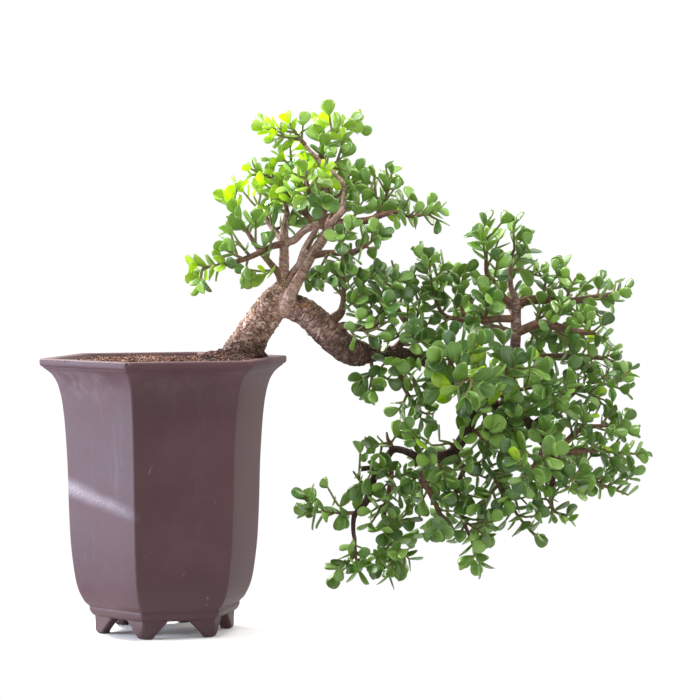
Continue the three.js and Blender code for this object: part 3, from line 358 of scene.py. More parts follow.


# Leaves: leafSpot is (along, across, top or under), leafTone a number for each leaf, raised in the crown as
# painted light, leafSun how much light comes through it.
def makeLeafLook():
    look = {
        "deep": (0.028, 0.088, 0.015, 1), "mid": (0.100, 0.238, 0.040, 1), "fresh": (0.275, 0.480, 0.085, 1),
        "under": (0.190, 0.330, 0.085, 1), "paintedSheen": (0.430, 0.540, 0.340, 1), "sunlit": (0.640, 0.900, 0.020, 1),
        "rim": (0.420, 0.580, 0.180, 1), "stalk": (0.400, 0.400, 0.110, 1), "through": (0.840, 1.000, 0.030, 1),
        "roughness": 0.22, "specular": 0.7,
    }
    paint = Paint("leaf")
    place = paint.place()
    parts = paint.split(paint.attribute("leafSpot", "Vector"))
    along, across = parts.out("X"), abs(parts.out("Y"))
    top = paint.rise(parts.out("Z"), -0.4, 0.4)
    clouds = paint.noise(place, 110, 4, 0.55)
    sun = paint.attribute("leafSun") * (0.6 + paint.patches(place, 85, 2, 0.5, 0.42, 0.58) * 0.55)
    level = paint.rise(paint.attribute("leafTone") * 0.8 + clouds * 0.5, 0.2, 1.1)
    body = paint.ramp(level, (0.0, look["deep"]), (0.5, look["mid"]), (1.0, look["fresh"]))
    # painted sheen: pale patches on the upper faces of the leaves
    body = paint.blend(paint.patches(place, 75, 3, 0.5, 0.42, 0.72) * top * 0.22, body, look["paintedSheen"])
    body = paint.blend((1 - top) * 0.4, body, look["under"])
    body = paint.blend(sun, body, look["sunlit"])
    vein = (1 - paint.rise(across, 0.02, 0.12)) * (1 - paint.rise(along, 0.5, 0.95)) * top
    body = paint.blend(vein * 0.25, body, look["rim"])
    body = paint.blend(paint.rise(across, 0.84, 0.98) * 0.6, body, look["rim"])
    body = paint.blend(1 - paint.rise(along, 0.02, 0.2), body, look["stalk"])
    normal = paint.bump(paint.noise(place, 1800, 2, 0.5) * 0.05 + clouds * 0.8 - vein * 0.5, 0.25, 0.0006)
    surface = paint.principled(body, look["roughness"] + clouds * 0.16, normal, look["specular"])
    glow = paint.node("BsdfTranslucent", {}, {"Color": paint.blend(0.55, body, look["through"]), "Normal": normal})
    return paint.finish(paint.node("MixShader", {}, {0: 0.24 + sun * 0.4, 1: surface, 2: glow}))


looks = {
    "clay": makeClay(), "soil": makeSoilLook(), "drain": makeDrainLook(), "bark": makeBark(),
    "shoot": makeShootLook(), "leaf": makeLeafLook(),
}
print("materials made:", ", ".join(looks))


# Geometry Nodes trees

class Field:
    # the tree of one Geometry Nodes modifier, with named inputs
    def __init__(self, name, inputs):
        self.tree = bpy.data.node_groups.new(name, "GeometryNodeTree")
        face = self.tree.interface
        face.new_socket("Geometry", in_out="INPUT", socket_type="NodeSocketGeometry")
        face.new_socket("Geometry", in_out="OUTPUT", socket_type="NodeSocketGeometry")
        for title, (kind, value) in inputs.items():
            socket = face.new_socket(title, in_out="INPUT", socket_type="NodeSocket" + kind)
            if kind in ("Float", "Int"):
                socket.default_value = value
        self.values = {title: value for title, (kind, value) in inputs.items()}
        self.start = self.tree.nodes.new("NodeGroupInput")
        self.end = self.tree.nodes.new("NodeGroupOutput")

    def given(self, title):
        return self.start.outputs[title]

    def node(self, kind, settings, values):
        made = self.tree.nodes.new(kind)
        for key, value in settings.items():
            setattr(made, key, value)
        for key, value in values.items():
            for each in value if isinstance(value, list) else [value]:
                if isinstance(each, bpy.types.NodeSocket):
                    self.tree.links.new(each, made.inputs[key])
                else:
                    made.inputs[key].default_value = each
        return made

    def named(self, kind, name):
        return self.node("GeometryNodeInputNamedAttribute", {"data_type": kind}, {"Name": name}).outputs[0]

    def store(self, geometry, kind, name, value):
        return self.node("GeometryNodeStoreNamedAttribute", {"data_type": kind, "domain": "POINT"}, {
            "Geometry": geometry, "Name": name, "Value": value}).outputs[0]

    def random(self, kind, low, high, seed):
        first, second, out = {"FLOAT_VECTOR": (0, 1, 0), "FLOAT": (2, 3, 1), "INT": (4, 5, 2)}[kind]
        made = self.node("FunctionNodeRandomValue", {"data_type": kind}, {first: low, second: high, "Seed": seed})
        return made.outputs[out]

    def anyVector(self, most, seed):
        return self.random("FLOAT_VECTOR", tuple(-value for value in most), most, seed)

    def turn(self, angles):
        return self.node("FunctionNodeEulerToRotation", {}, {0: angles}).outputs[0]

    # points spread over a surface: a node with the outputs Points and Rotation
    def scatter(self, surface, share):
        return self.node("GeometryNodeDistributePointsOnFaces", {"distribute_method": "POISSON"}, {
            "Mesh": surface, "Distance Min": self.given("Gap"), "Density Max": self.given("Density"),
            "Seed": self.given("Seed"), "Density Factor": share,
        })

    # the shapes of the collection set out on points
    def setOut(self, points, pick, turn, size):
        each = self.node("GeometryNodeCollectionInfo", {}, {
            "Collection": self.given("Shapes"), "Separate Children": True, "Reset Children": True}).outputs[0]
        return self.node("GeometryNodeInstanceOnPoints", {}, {
            "Points": points, "Instance": each, "Pick Instance": True, "Instance Index": pick, "Rotation": turn,
            "Scale": size}).outputs[0]

    def join(self, *parts):
        return self.node("GeometryNodeJoinGeometry", {}, {0: list(parts)}).outputs[0]

    def realize(self, geometry):
        return self.node("GeometryNodeRealizeInstances", {}, {"Geometry": geometry}).outputs[0]

    def finish(self, geometry):
        values = {"Geometry": self.realize(geometry), "Material": self.given("Material")}
        painted = self.node("GeometryNodeSetMaterial", {}, values)
        self.tree.links.new(painted.outputs[0], self.end.inputs[0])
        return self

    # runs the tree on a mesh, and gives back a plain object
    def apply(self, name, mesh):
        source = linkObject(name + "Source", mesh)
        modifier = source.modifiers.new("field", "NODES")
        modifier.node_group = self.tree
        for item in self.tree.interface.items_tree:
            if item.in_out == "INPUT" and item.name in self.values:
                modifier[item.identifier] = self.values[item.name]
        return bakePlain(source, name)


def linkObject(name, data):
    made = bpy.data.objects.new(name, data)
    scene.collection.objects.link(made)
    return made


# Turns an object with modifiers into a plain one
def bakePlain(source, name):
    graph = bpy.context.evaluated_depsgraph_get()
    graph.update()
    mesh = bpy.data.meshes.new_from_object(source.evaluated_get(graph), depsgraph=graph)
    mesh.name = name
    bpy.data.objects.remove(source)
    return linkObject(name, mesh)


# Small shapes for a tree to set out
def gather(shapes):
    kept = bpy.data.collections.new("shapes")
    for shape in shapes:
        kept.objects.link(shape)
    return kept


def discard(kept):
    for shape in list(kept.objects):
        bpy.data.objects.remove(shape)
    bpy.data.collections.remove(kept)


def settle(piece, slot, *nodes):
    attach(piece, "root")
    if nodes:
        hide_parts(*nodes)


def smoothFaces(mesh):
    mesh.polygons.foreach_set("use_smooth", np.ones(len(mesh.polygons), bool))
    mesh.update()


def meshOf(name, vertices, faces, material=None):
    mesh = bpy.data.meshes.new(name)
    mesh.from_pydata([tuple(v) for v in vertices], [], faces)
    if material is not None:
        mesh.materials.append(material)
    smoothFaces(mesh)
    return mesh


def addAttribute(mesh, name, kind, values):
    made = mesh.attributes.new(name, kind, "POINT")
    values = np.asarray(values, np.int32 if kind == "INT" else np.float32)
    made.data.foreach_set("vector" if kind == "FLOAT_VECTOR" else "value", values.ravel())


# Pot: a hexagon of rounded corners swept up a smooth profile, on six short feet
pot = {
    "turn": 16.3, "cornerRadius": 3, "cornerShare": 0.2, "perCorner": 7, "perSide": 4, "roundBelow": 30,
    "sharpAngle": 50, "footBevel": 0.9,
    "outside": [
        (12.5, 14), (56, 14), (59.6, 14.5), (62.3, 16.3), (64.1, 18.8), (64.9, 21.2), (64.7, 22.6), (65.9, 24),
        (68.9, 26.8), (73.4, 35), (76.4, 45), (79, 62), (80.8, 80), (82.2, 112), (83.1, 143), (85.2, 176),
        (87.5, 195), (91, 208.8), (95.6, 216.6), (100.8, 221), (103, 222.5), (103.2, 223.2), (105, 224),
        (106, 225.6), (106.1, 228.6), (105.5, 229.7), (104.4, 230),
    ],
    "inside": [
        (95.4, 230), (94.2, 229.6), (93, 228.2), (86, 212), (80, 200), (76, 172), (75, 115), (72, 64), (63, 34),
        (52, 24), (12.5, 24),
    ],
    # height, how far out its corner stands, length and thickness of its two arms
    "footLevels": ((0, 57.8, 7.2, 8), (1.8, 59.6, 8.8, 9), (16.5, 60.2, 23, 10)),
}
slant = math.cos(math.pi / 6)  # from a hexagon's corner to its flat


def spoke(degrees, radius):
    angle = math.radians(degrees)
    return np.array([radius * math.cos(angle), radius * math.sin(angle)])


def potCorner(index, radius):
    return spoke(pot["turn"] + 60 * index, radius)


# One ring of the pot: a circle near the drain hole, else a hexagon with rounded corners
def potRing(radius, z):
    perCorner, perSide = pot["perCorner"], pot["perSide"]
    ring = []
    for index in range(6):
        start = pot["turn"] + 60 * index - 30
        if radius < pot["roundBelow"]:
            ring += [spoke(start + 60 * k / (perCorner + perSide), radius) for k in range(perCorner + perSide)]
            continue
        bend = min(pot["cornerRadius"], radius * pot["cornerShare"])
        centre, nextCentre = (potCorner(index + step, radius - bend / slant) for step in (0, 1))
        ring += [centre + spoke(start + 60 * k / (perCorner - 1), bend) for k in range(perCorner)]
        landing = nextCentre + spoke(pot["turn"] + 60 * index + 30, bend)
        last = ring[-1]
        ring += [last + (landing - last) * (k / (perSide + 1)) for k in range(1, perSide + 1)]
    return [(x, y, z) for x, y in ring]


# The cubic of each span of a smooth curve through the points, from its cube down. The pull of far
# neighbours is held back where short spans mustn't overshoot.
def cubics(points, held):
    for i, (p1, p2) in enumerate(zip(points, points[1:])):
        p0 = points[i - 1] if i else 2 * p1 - p2
        p3 = points[i + 2] if i + 2 < len(points) else 2 * p2 - p1
        m1, m2 = (p2 - p0) / 2, (p3 - p1) / 2
        if held:
            span = np.linalg.norm(p2 - p1)
            m1, m2 = (m * min(1, span / (np.linalg.norm(m) + 1e-9)) for m in (m1, m2))
        yield 2 * p1 - 2 * p2 + m1 + m2, -3 * p1 + 3 * p2 - 2 * m1 - m2, m1, p1


def profile(points, steps):
    out = []
    for a, b, m, p in cubics([np.array(point, float) for point in points], True):
        out += [a * t ** 3 + b * t ** 2 + m * t + p for t in (k / steps for k in range(steps))]
    return out + [points[-1]]


def loft(rings, closed):
    count = len(rings[0])
    vertices = [spot for ring in rings for spot in ring]
    faces = []
    for i in range(len(rings) if closed else len(rings) - 1):
        first, second = i * count, (i + 1) % len(rings) * count
        for k in range(count):
            after = (k + 1) % count
            faces.append((first + k, first + after, second + after, second + k))
    return vertices, faces


def solidOf(vertices, faces):
    shape = bmesh.new()
    made = [shape.verts.new(v) for v in vertices]
    for face in faces:
        shape.faces.new([made[k] for k in face])
    return shape


# A foot is an angle of two short arms along the sides that meet at a corner
def potFoot(index):
    corner = potCorner(index, 1)
    beside = [potCorner(index + 1, 1), potCorner(index - 1, 1)]
    rings = []
    for z, reach, length, thick in pot["footLevels"]:
        outer = corner * reach
        ends = [outer + (other - corner) * length for other in beside]
        inner = [end - (corner + other) * (thick / math.sqrt(3)) for end, other in zip(ends, beside)]
        back = corner * (reach - thick / slant)
        rings.append([(*spot, z) for spot in (outer, ends[0], inner[0], back, inner[1], ends[1])])
    vertices, faces = loft(rings, False)
    shape = solidOf(vertices, [*faces, tuple(range(6)), tuple(range(12, 18))])
    bmesh.ops.bevel(shape, geom=list(shape.edges), offset=pot["footBevel"], segments=3, affect="EDGES",
        clamp_overlap=True)
    for vertex in shape.verts:
        vertex.co.z = max(vertex.co.z, 0)
    bmesh.ops.recalc_face_normals(shape, faces=shape.faces)
    return shape


def makePot():
    rings = [potRing(radius, z) for radius, z in profile(pot["outside"], 4) + profile(pot["inside"], 3)]
    whole = solidOf(*loft(rings, True))
    bmesh.ops.recalc_face_normals(whole, faces=whole.faces)
    for index in range(6):
        spare = bpy.data.meshes.new("foot")
        potFoot(index).to_mesh(spare)
        whole.from_mesh(spare)
        bpy.data.meshes.remove(spare)
    mesh = bpy.data.meshes.new("clayPot")
    whole.to_mesh(mesh)
    mesh.transform(intoFrame)
    mesh.materials.append(looks["clay"])
    smoothFaces(mesh)
    mesh.set_sharp_from_angle(angle=math.radians(pot["sharpAngle"]))
    settle(linkObject("clayPot", mesh), "pot_clay", "pot")


makePot()
drain = frame["nodes"]["drain_mesh"]
drain.data.materials.clear()
drain.data.materials.append(looks["drain"])
print("pot made")


# Paths: seen from the eye square on, x and z as they show in the pot's middle plane and y the depth
eye = {"x": 155, "z": 343, "distance": 2443}


def place(x, y, z):
    spread = 1 + y / eye["distance"]
    return np.array([eye["x"] + (x - eye["x"]) * spread, y, eye["z"] + (z - eye["z"]) * spread])


# The other way round: x and z at which a place shows
def seen(at):
    spread = 1 + at[1] / eye["distance"]
    return eye["x"] + (at[0] - eye["x"]) / spread, eye["z"] + (at[2] - eye["z"]) / spread


# A run is a list of spots, each with its place and radius, later also ahead, normal and across
def smoothRun(points, steps):
    run = []
    spans = list(cubics([place(*point[:3]) for point in points], False))
    for i, (a, b, m, p) in enumerate(spans):
        radius, nextRadius = points[i][3], points[i + 1][3]
        for k in range(steps + 1 if i == len(spans) - 1 else steps):
            t = k / steps
            run.append({"at": a * t ** 3 + b * t ** 2 + m * t + p, "radius": radius + (nextRadius - radius) * t})
    return run


def addFrames(run):
    for i, spot in enumerate(run):
        ahead = run[min(i + 1, len(run) - 1)]["at"] - run[max(i - 1, 0)]["at"]
        spot["ahead"] = ahead / np.linalg.norm(ahead)
        normal = run[i - 1]["normal"] if i else np.array([0.0, 1.0, 0.0])
        normal = normal - spot["ahead"] * normal.dot(spot["ahead"])
        if np.linalg.norm(normal) < 0.2:  # the path turns along y
            normal = np.array([1.0, 0.0, 0.0]) - spot["ahead"] * spot["ahead"][0]
        spot["normal"] = normal / np.linalg.norm(normal)
        spot["across"] = np.cross(spot["normal"], spot["ahead"])
    return run


# A closed tube along a run, with its vertices numbered from start
def tubeParts(run, sides, start):
    rings = []
    for spot in addFrames(run):
        ring = []
        for k in range(sides):
            angle = 2 * math.pi * k / sides
            out = spot["normal"] * math.cos(angle) - spot["across"] * math.sin(angle)
            ring.append(spot["at"] + out * spot["radius"])
        rings.append(ring)
    vertices, faces = loft(rings, False)
    last = start + len(vertices) - sides
    faces = [tuple(start + k for k in reversed(face)) for face in faces]
    faces += [tuple(range(start, start + sides)), tuple(reversed(range(last, last + sides)))]
    return vertices, faces


# Paths of the wood: x, depth, z and radius
trunkPath = [
    (48, 0, 190, 11), (54.5, 0, 211, 14.2), (62.5, 0, 230, 16), (70.5, 0, 243, 15), (78.5, 1, 256, 14.2),
    (89, 2, 271, 13.6), (97, 2, 282, 12), (100, 2, 290, 7.5),
]
cascadePath = [
    (92, 2, 274, 9.5), (106, 1, 272.5, 11.2), (118.5, 0, 267, 12), (129.5, -2, 257.5, 12.2),
    (139.5, -4, 247.5, 12.3), (149, -5, 238.5, 12.3), (158, -5, 234, 11.7), (166.5, -4, 233, 10.8),
    (172, -4, 233, 7.8), (182, -3, 233.5, 6), (195, -2, 234, 5.4),
]
limbPaths = [
    [(192, -2, 234, 5.6), (208, 2, 231, 5.2), (219, 6, 226, 5), (231, 10, 218, 4.8), (246, 14, 207, 4.8),
     (262, 17, 196.5, 4.8), (276, 19, 190, 4.8), (290, 19, 184, 4.8), (303, 16, 176.5, 4.6), (312, 11, 166, 4.6),
     (320, 7, 156, 4.5), (327, 4, 148, 4.2), (328, 2, 138, 3.6), (325, 1, 128, 3), (324, 0, 116, 2.4),
     (324, -1, 106, 2)],
    [(284, 20, 187, 4), (287, 22, 203, 4.6), (291, 24, 218, 4.8), (293, 25, 232, 4.8), (294, 26, 247, 4.6),
     (294, 26, 262, 4.6), (294, 26, 275, 4.2), (290, 28, 287, 2.6), (289, 29, 299, 2.2)],
    [(263, 17, 197, 4), (261, 14, 188, 4.8), (258, 10, 179, 4.8), (254, 6, 169, 4.9), (248, 2, 159, 4.9),
     (241, -2, 150, 4.7), (232, -6, 147, 4.5), (222, -8, 146, 4.3), (213, -9, 144, 4)],
    [(215, -9, 144, 3.8), (206, -6, 149, 3.3), (198, -2, 152, 3.1), (191, 2, 152, 3.1), (186, 2, 145, 3),
     (181, 0, 138, 3.2), (176, -2, 130, 3.2), (172, -3, 119, 3.3), (169, -4, 109, 3.2), (164, -5, 102.5, 2.9),
     (159, -6, 97, 2.5), (158, -6, 86, 2), (159, -6, 77, 1.9)],
    [(182, 0, 138, 2.6), (173, -3, 137, 2.5), (163, -6, 136, 2.4)],
    [(98, -5, 264, 4), (102, -10, 274, 5.4), (107, -10.5, 285, 5.3), (112, -9, 294, 4.9), (117, -7, 303, 4.4),
     (121, -5, 312, 4.7), (128, -3, 322, 4.6), (135, -2, 332, 4.3), (141, -1, 342, 3.8), (148, -2, 353, 3.1),
     (150, -4, 365, 2.7), (149, -6, 376, 2.6), (140, -7, 385, 2.5), (128, -8, 396, 2.4), (117, -7, 408, 2)],
    [(98, 3, 281, 6), (99, 4, 293, 5), (100, 5, 305, 4.5), (100, 6, 317, 4.2), (100, 7, 328, 4),
     (101, 8, 340, 3.3), (103, 9, 352, 2.4)],
    [(100, 7, 325, 3.4), (109, 4, 328, 3.3), (116, 2, 335, 3.2), (125, 0, 339.5, 3.5), (136, -2, 341, 3.8),
     (142, -1, 342, 3.6)],
    [(101, -1, 284, 3), (107, -2, 299, 2.4), (112, -3, 308, 2.2), (116, -4, 319, 2.1), (122, -4, 330, 2),
     (128, -3, 338, 1.9)],
    [(142, -2, 344, 3), (147, -5, 349.5, 2.9), (152, -8, 354.5, 2.8)],
]


# Wood: trunk, cascade and main limbs grown into one, with fissured bark
wood = {
    "voxel": 1.05, "sides": 20, "softened": 4, "nearest": 14, "plateSize": (7, 4), "plateGap": 0.22,
    "fissureDepth": 0.45, "wrinkleDepth": 0.65, "knobDepth": 0.8, "ringDepth": 0.25, "fullDepthFrom": 12,
    "leader": 7, "slimAbove": 345, "slimShare": 0.76,  # the top of the leader is drawn thinner than the solid
}

# Tone and roughness of each path's bark: tone from 0 tan through 0.5 reddish to 1 dark
barkKinds = [
    (0.05, 1.0), (0.45, 1.0), (0.6, 0.7), (0.75, 0.35), (0.9, 0.5), (1.0, 0.45),
    (0.9, 0.3), (0.25, 0.42), (0.3, 0.4), (0.35, 0.2), (0.3, 0.15), (0.3, 0.1),
]

# Loose scales of bark on the roughest wood
flakes = {
    "shapes": 3, "sides": 9, "narrow": 0.62, "ragged": (0.7, 1.15), "thickness": (0.03, -0.12), "curl": 0.08,
    "slope": 0.1, "shapeSeed": 20, "gap": 3.6, "density": 60000.0, "size": (1.3, 3.2), "onRoughness": (0.6, 0.95),
    "leanMost": (0.12, 0.12, 3.1), "seed": 4, "leanSeed": 5, "sizeSeed": 6, "pickSeed": 7,
}


def noiseAt(x, y, z):
    return noise.noise(Vector((x, y, z)))


# How deep a spot of the bark lies between its plates, from 0 to 1. round1 and round2 are its place across
# the limb, length its place along it.
def plateGap(round1, round2, length):
    across, along = wood["plateSize"]
    near = noise.voronoi(Vector((round1 / across, round2 / across, length / along)))[0]
    return max(0, 1 - (near[1] - near[0]) / wood["plateGap"])


def makeFlake(index):
    dice = np.random.default_rng(flakes["shapeSeed"] + index)
    sides = flakes["sides"]
    vertices = [(0, 0, z) for z in flakes["thickness"]]
    faces = []
    for k in range(sides):
        angle = 2 * math.pi * k / sides
        reach = dice.uniform(*flakes["ragged"])
        x, y = reach * math.cos(angle), flakes["narrow"] * reach * math.sin(angle)
        vertices.append((x, y, flakes["curl"] * x * x + flakes["slope"] * y))
        first, second = 2 + k, 2 + (k + 1) % sides
        faces += [(0, first, second), (1, second, first)]
    mesh = meshOf("flake", vertices, faces)
    addAttribute(mesh, "flakeEdge", "FLOAT", [0, 0] + [1] * sides)
    return bpy.data.objects.new("flake", mesh)


def flakeTree(scales):
    field = Field("barkFlakes", {
        "Material": ("Material", looks["bark"]), "Shapes": ("Collection", scales),
        "Gap": ("Float", flakes["gap"] * mm), "Density": ("Float", flakes["density"]),
        "Smallest": ("Float", flakes["size"][0] * mm), "Largest": ("Float", flakes["size"][1] * mm),
        "Seed": ("Int", flakes["seed"]),
    })
    skin = field.given("Geometry")
    low, high = flakes["onRoughness"]
    share = field.node("ShaderNodeMapRange", {}, {
        "Value": field.named("FLOAT", "barkRough"), "From Min": low, "From Max": high}).outputs[0]
    spread = field.scatter(skin, share)
    lean = field.turn(field.anyVector(flakes["leanMost"], flakes["leanSeed"]))
    turn = field.node("FunctionNodeRotateRotation", {"rotation_space": "LOCAL"}, {
        0: spread.outputs["Rotation"], 1: lean}).outputs[0]
    size = field.random("FLOAT", field.given("Smallest"), field.given("Largest"), flakes["sizeSeed"])
    pick = field.random("INT", 0, flakes["shapes"] - 1, flakes["pickSeed"])
    loose = field.realize(field.setOut(spread.outputs["Points"], pick, turn, size))
    # a scale takes the values of the bark under it, so that the pattern goes on over it
    for name in ("barkRun", "barkTone", "barkRough", "barkGap"):
        kind = "FLOAT_VECTOR" if name == "barkRun" else "FLOAT"
        under = field.node("GeometryNodeSampleNearestSurface", {"data_type": kind}, {
            "Mesh": skin, "Value": field.named(kind, name)}).outputs[0]
        loose = field.store(loose, kind, name, under)
    return field.finish(field.join(skin, loose))


# Tubes along all the paths, and a tree of their spots to look values up in
def woodParts(paths):
    vertices, faces, spots = [], [], []
    for index, (path, kind) in enumerate(zip(paths, barkKinds)):
        slimAbove = wood["slimAbove"] if index == wood["leader"] else math.inf
        drawn = [(x, y, z, radius * wood["slimShare"] if z > slimAbove else radius) for x, y, z, radius in path]
        new, more = tubeParts(smoothRun(drawn, 4), wood["sides"], len(vertices))
        vertices += new
        faces += more
        length = 0
        line = addFrames(smoothRun(path, 8))
        for i, spot in enumerate(line):
            length += np.linalg.norm(spot["at"] - line[i - 1]["at"]) if i else 0
            spots.append((spot, length, np.array(kind)))
    tree = kdtree.KDTree(len(spots))
    for i, (spot, length, kind) in enumerate(spots):
        tree.insert(spot["at"], i)
    tree.balance()
    return vertices, faces, spots, tree


def makeWood():
    vertices, faces, spots, tree = woodParts([trunkPath, cascadePath, *limbPaths])
    source = linkObject("woodSource", meshOf("woodSource", vertices, faces))
    remesh = source.modifiers.new("grown", "REMESH")
    remesh.mode = "VOXEL"
    remesh.voxel_size = wood["voxel"]
    source.modifiers.new("soft", "SMOOTH").iterations = wood["softened"]
    skin = bakePlain(source, "barkSkin")
    mesh = skin.data
    count = len(mesh.vertices)
    tones, roughs, gaps = np.zeros(count), np.zeros(count), np.zeros(count)
    runs, moved = np.zeros((count, 3)), np.zeros((count, 3))
    for i, vertex in enumerate(mesh.vertices):
        # tone and roughness from all the paths nearby, the rest from the nearest one
        at = vertex.co
        total, weight = np.zeros(2), 0
        near = tree.find_n(at, wood["nearest"])
        for found, index, distance in near:
            spot, length, kind = spots[index]
            pull = 1 / (0.4 + max(distance - spot["radius"], 0)) ** 4
            total += pull * kind
            weight += pull
        tones[i], roughs[i] = total / weight
        spot, length, kind = spots[near[0][1]]
        offset = np.array(at) - spot["at"]
        round1, round2 = offset.dot(spot["normal"]), offset.dot(spot["across"])
        length += offset.dot(spot["ahead"])
        runs[i] = (round1, round2, length)
        thick = min(spot["radius"] / wood["fullDepthFrom"], 1)
        gaps[i] = plateGap(round1, round2, length) * roughs[i] * thick
        knob = noise.noise(at / 9) + 0.25 * noise.noise(at / 3.4)
        wrinkle = noiseAt(round1 / 8, round2 / 8, length / 2.3)
        ring = noiseAt(round1 / 20, round2 / 20, length / 1.6)
        depth = wood["knobDepth"] * knob * thick + wood["ringDepth"] * ring
        depth += (wood["wrinkleDepth"] * wrinkle - wood["fissureDepth"] * gaps[i]) * roughs[i] * thick
        moved[i] = np.array(at) + np.array(vertex.normal) * depth
    mesh.vertices.foreach_set("co", moved.astype(np.float32).ravel())
    for name, values in {"barkTone": tones, "barkRough": roughs, "barkGap": gaps}.items():
        addAttribute(mesh, name, "FLOAT", values)
    addAttribute(mesh, "barkRun", "FLOAT_VECTOR", runs * mm)
    mesh.transform(intoFrame)
    smoothFaces(mesh)
    scales = gather(makeFlake(index) for index in range(flakes["shapes"]))
    piece = flakeTree(scales).apply("bark", mesh)
    bpy.data.objects.remove(skin)
    discard(scales)
    settle(piece, "bark", "wood")


makeWood()
print("wood grown")


# Soil: a heaped plug under a loose cover of grains
soil = {
    "level": 226.5, "edge": 91, "rings": 44, "around": 96, "mound": 11, "moundX": 58, "moundWidth": 27,
    "ripple": 0.9, "roughness": 1.1, "clodSize": 7, "plainTone": 0.25,
    "side": ((85, 211), (75, 172), (71, 64), (62, 34), (51, 24.4)),
    # heaps beside the trunk: x, y, height, half width
    "heaps": ((87, -8, 5.5, 7), (82, 6, 4, 9), (36, -12, 3, 8), (46, -22, 3, 8), (70, -24, 2.5, 8)),
    "grainShapes": 3, "grainGap": 1.5, "grainSize": (1.0, 2.6), "density": 600000.0, "turnMost": (3.1, 3.1, 3.1),
    "seed": 11, "turnSeed": 5, "sizeSeed": 6, "pickSeed": 7,
}


def heap(x, y, high, wide):
    return high * math.exp(-((math.hypot(x, y) / wide) ** 2))


def soilHeight(x, y):
    rise = heap(x - soil["moundX"], y, soil["mound"], soil["moundWidth"])
    ripple = soil["ripple"] * math.sin(0.11 * x + 1) * math.cos(0.13 * y)
    clods = noiseAt(x / soil["clodSize"], y / soil["clodSize"], 3) * soil["roughness"]
    for heapX, heapY, high, wide in soil["heaps"]:
        rise += heap(x - heapX, y - heapY, high, wide)
    return soil["level"] + rise + ripple + clods


def hexRadius(angle, flat):
    turn = (math.degrees(angle) - pot["turn"] + 30) % 60 - 30
    return flat * slant / math.cos(math.radians(30 - abs(turn)))


def grainShape(index):
    shape = bmesh.new()
    bmesh.ops.create_icosphere(shape, subdivisions=1, radius=0.5)
    for vertex in shape.verts:
        swell = 1 + 0.45 * noise.noise(vertex.co * 1.7 + Vector((9 * index, 0, 0)))
        vertex.co = Vector((vertex.co.x * 1.25, vertex.co.y, vertex.co.z * 0.7)) * swell
    mesh = bpy.data.meshes.new("grain")
    shape.to_mesh(mesh)
    return bpy.data.objects.new("grain", mesh)


def grainTree(grains):
    field = Field("soilGrains", {
        "Material": ("Material", looks["soil"]), "Shapes": ("Collection", grains),
        "Gap": ("Float", soil["grainGap"] * mm), "Density": ("Float", soil["density"]),
        "Smallest": ("Float", soil["grainSize"][0] * mm), "Largest": ("Float", soil["grainSize"][1] * mm),
        "Seed": ("Int", soil["seed"]),
    })
    ground = field.given("Geometry")
    points = field.scatter(ground, field.named("FLOAT", "loose")).outputs["Points"]
    points = field.store(points, "FLOAT", "grainTone", field.random("FLOAT", 0.0, 1.0, field.given("Seed")))
    turn = field.turn(field.anyVector(soil["turnMost"], soil["turnSeed"]))
    size = field.random("FLOAT", field.given("Smallest"), field.given("Largest"), soil["sizeSeed"])
    pick = field.random("INT", 0, soil["grainShapes"] - 1, soil["pickSeed"])
    return field.finish(field.join(ground, field.setOut(points, pick, turn, size)))


def makeSoil():
    around = soil["around"]
    vertices, faces = [(0, 0, soilHeight(0, 0))], []
    angles = [2 * math.pi * k / around for k in range(around)]
    for i in range(1, soil["rings"] + 1):
        for angle in angles:
            radius = hexRadius(angle, soil["edge"]) * i / soil["rings"]
            x, y = radius * math.cos(angle), radius * math.sin(angle)
            vertices.append((x, y, soilHeight(x, y)))
    top = len(vertices)
    for radius, z in soil["side"]:
        for angle in angles:
            reach = hexRadius(angle, radius)
            vertices.append((reach * math.cos(angle), reach * math.sin(angle), z))
    for k in range(around):
        faces.append((0, 1 + k, 1 + (k + 1) % around))
    last = len(vertices) - around
    for first in range(1, last, around):
        for k in range(around):
            after = (k + 1) % around
            faces.append((first + k, first + around + k, first + around + after, first + after))
    faces.append(tuple(last + k for k in reversed(range(around))))
    mesh = meshOf("soilGround", [toFrame(v) for v in vertices], faces)
    addAttribute(mesh, "loose", "FLOAT", [1] * top + [0] * (len(vertices) - top))
    addAttribute(mesh, "grainTone", "FLOAT", [soil["plainTone"]] * len(vertices))
    grains = gather(grainShape(index) for index in range(soil["grainShapes"]))
    piece = grainTree(grains).apply("pottingSoil", mesh)
    discard(grains)
    settle(piece, "soil", "soil")


makeSoil()
print("soil heaped")


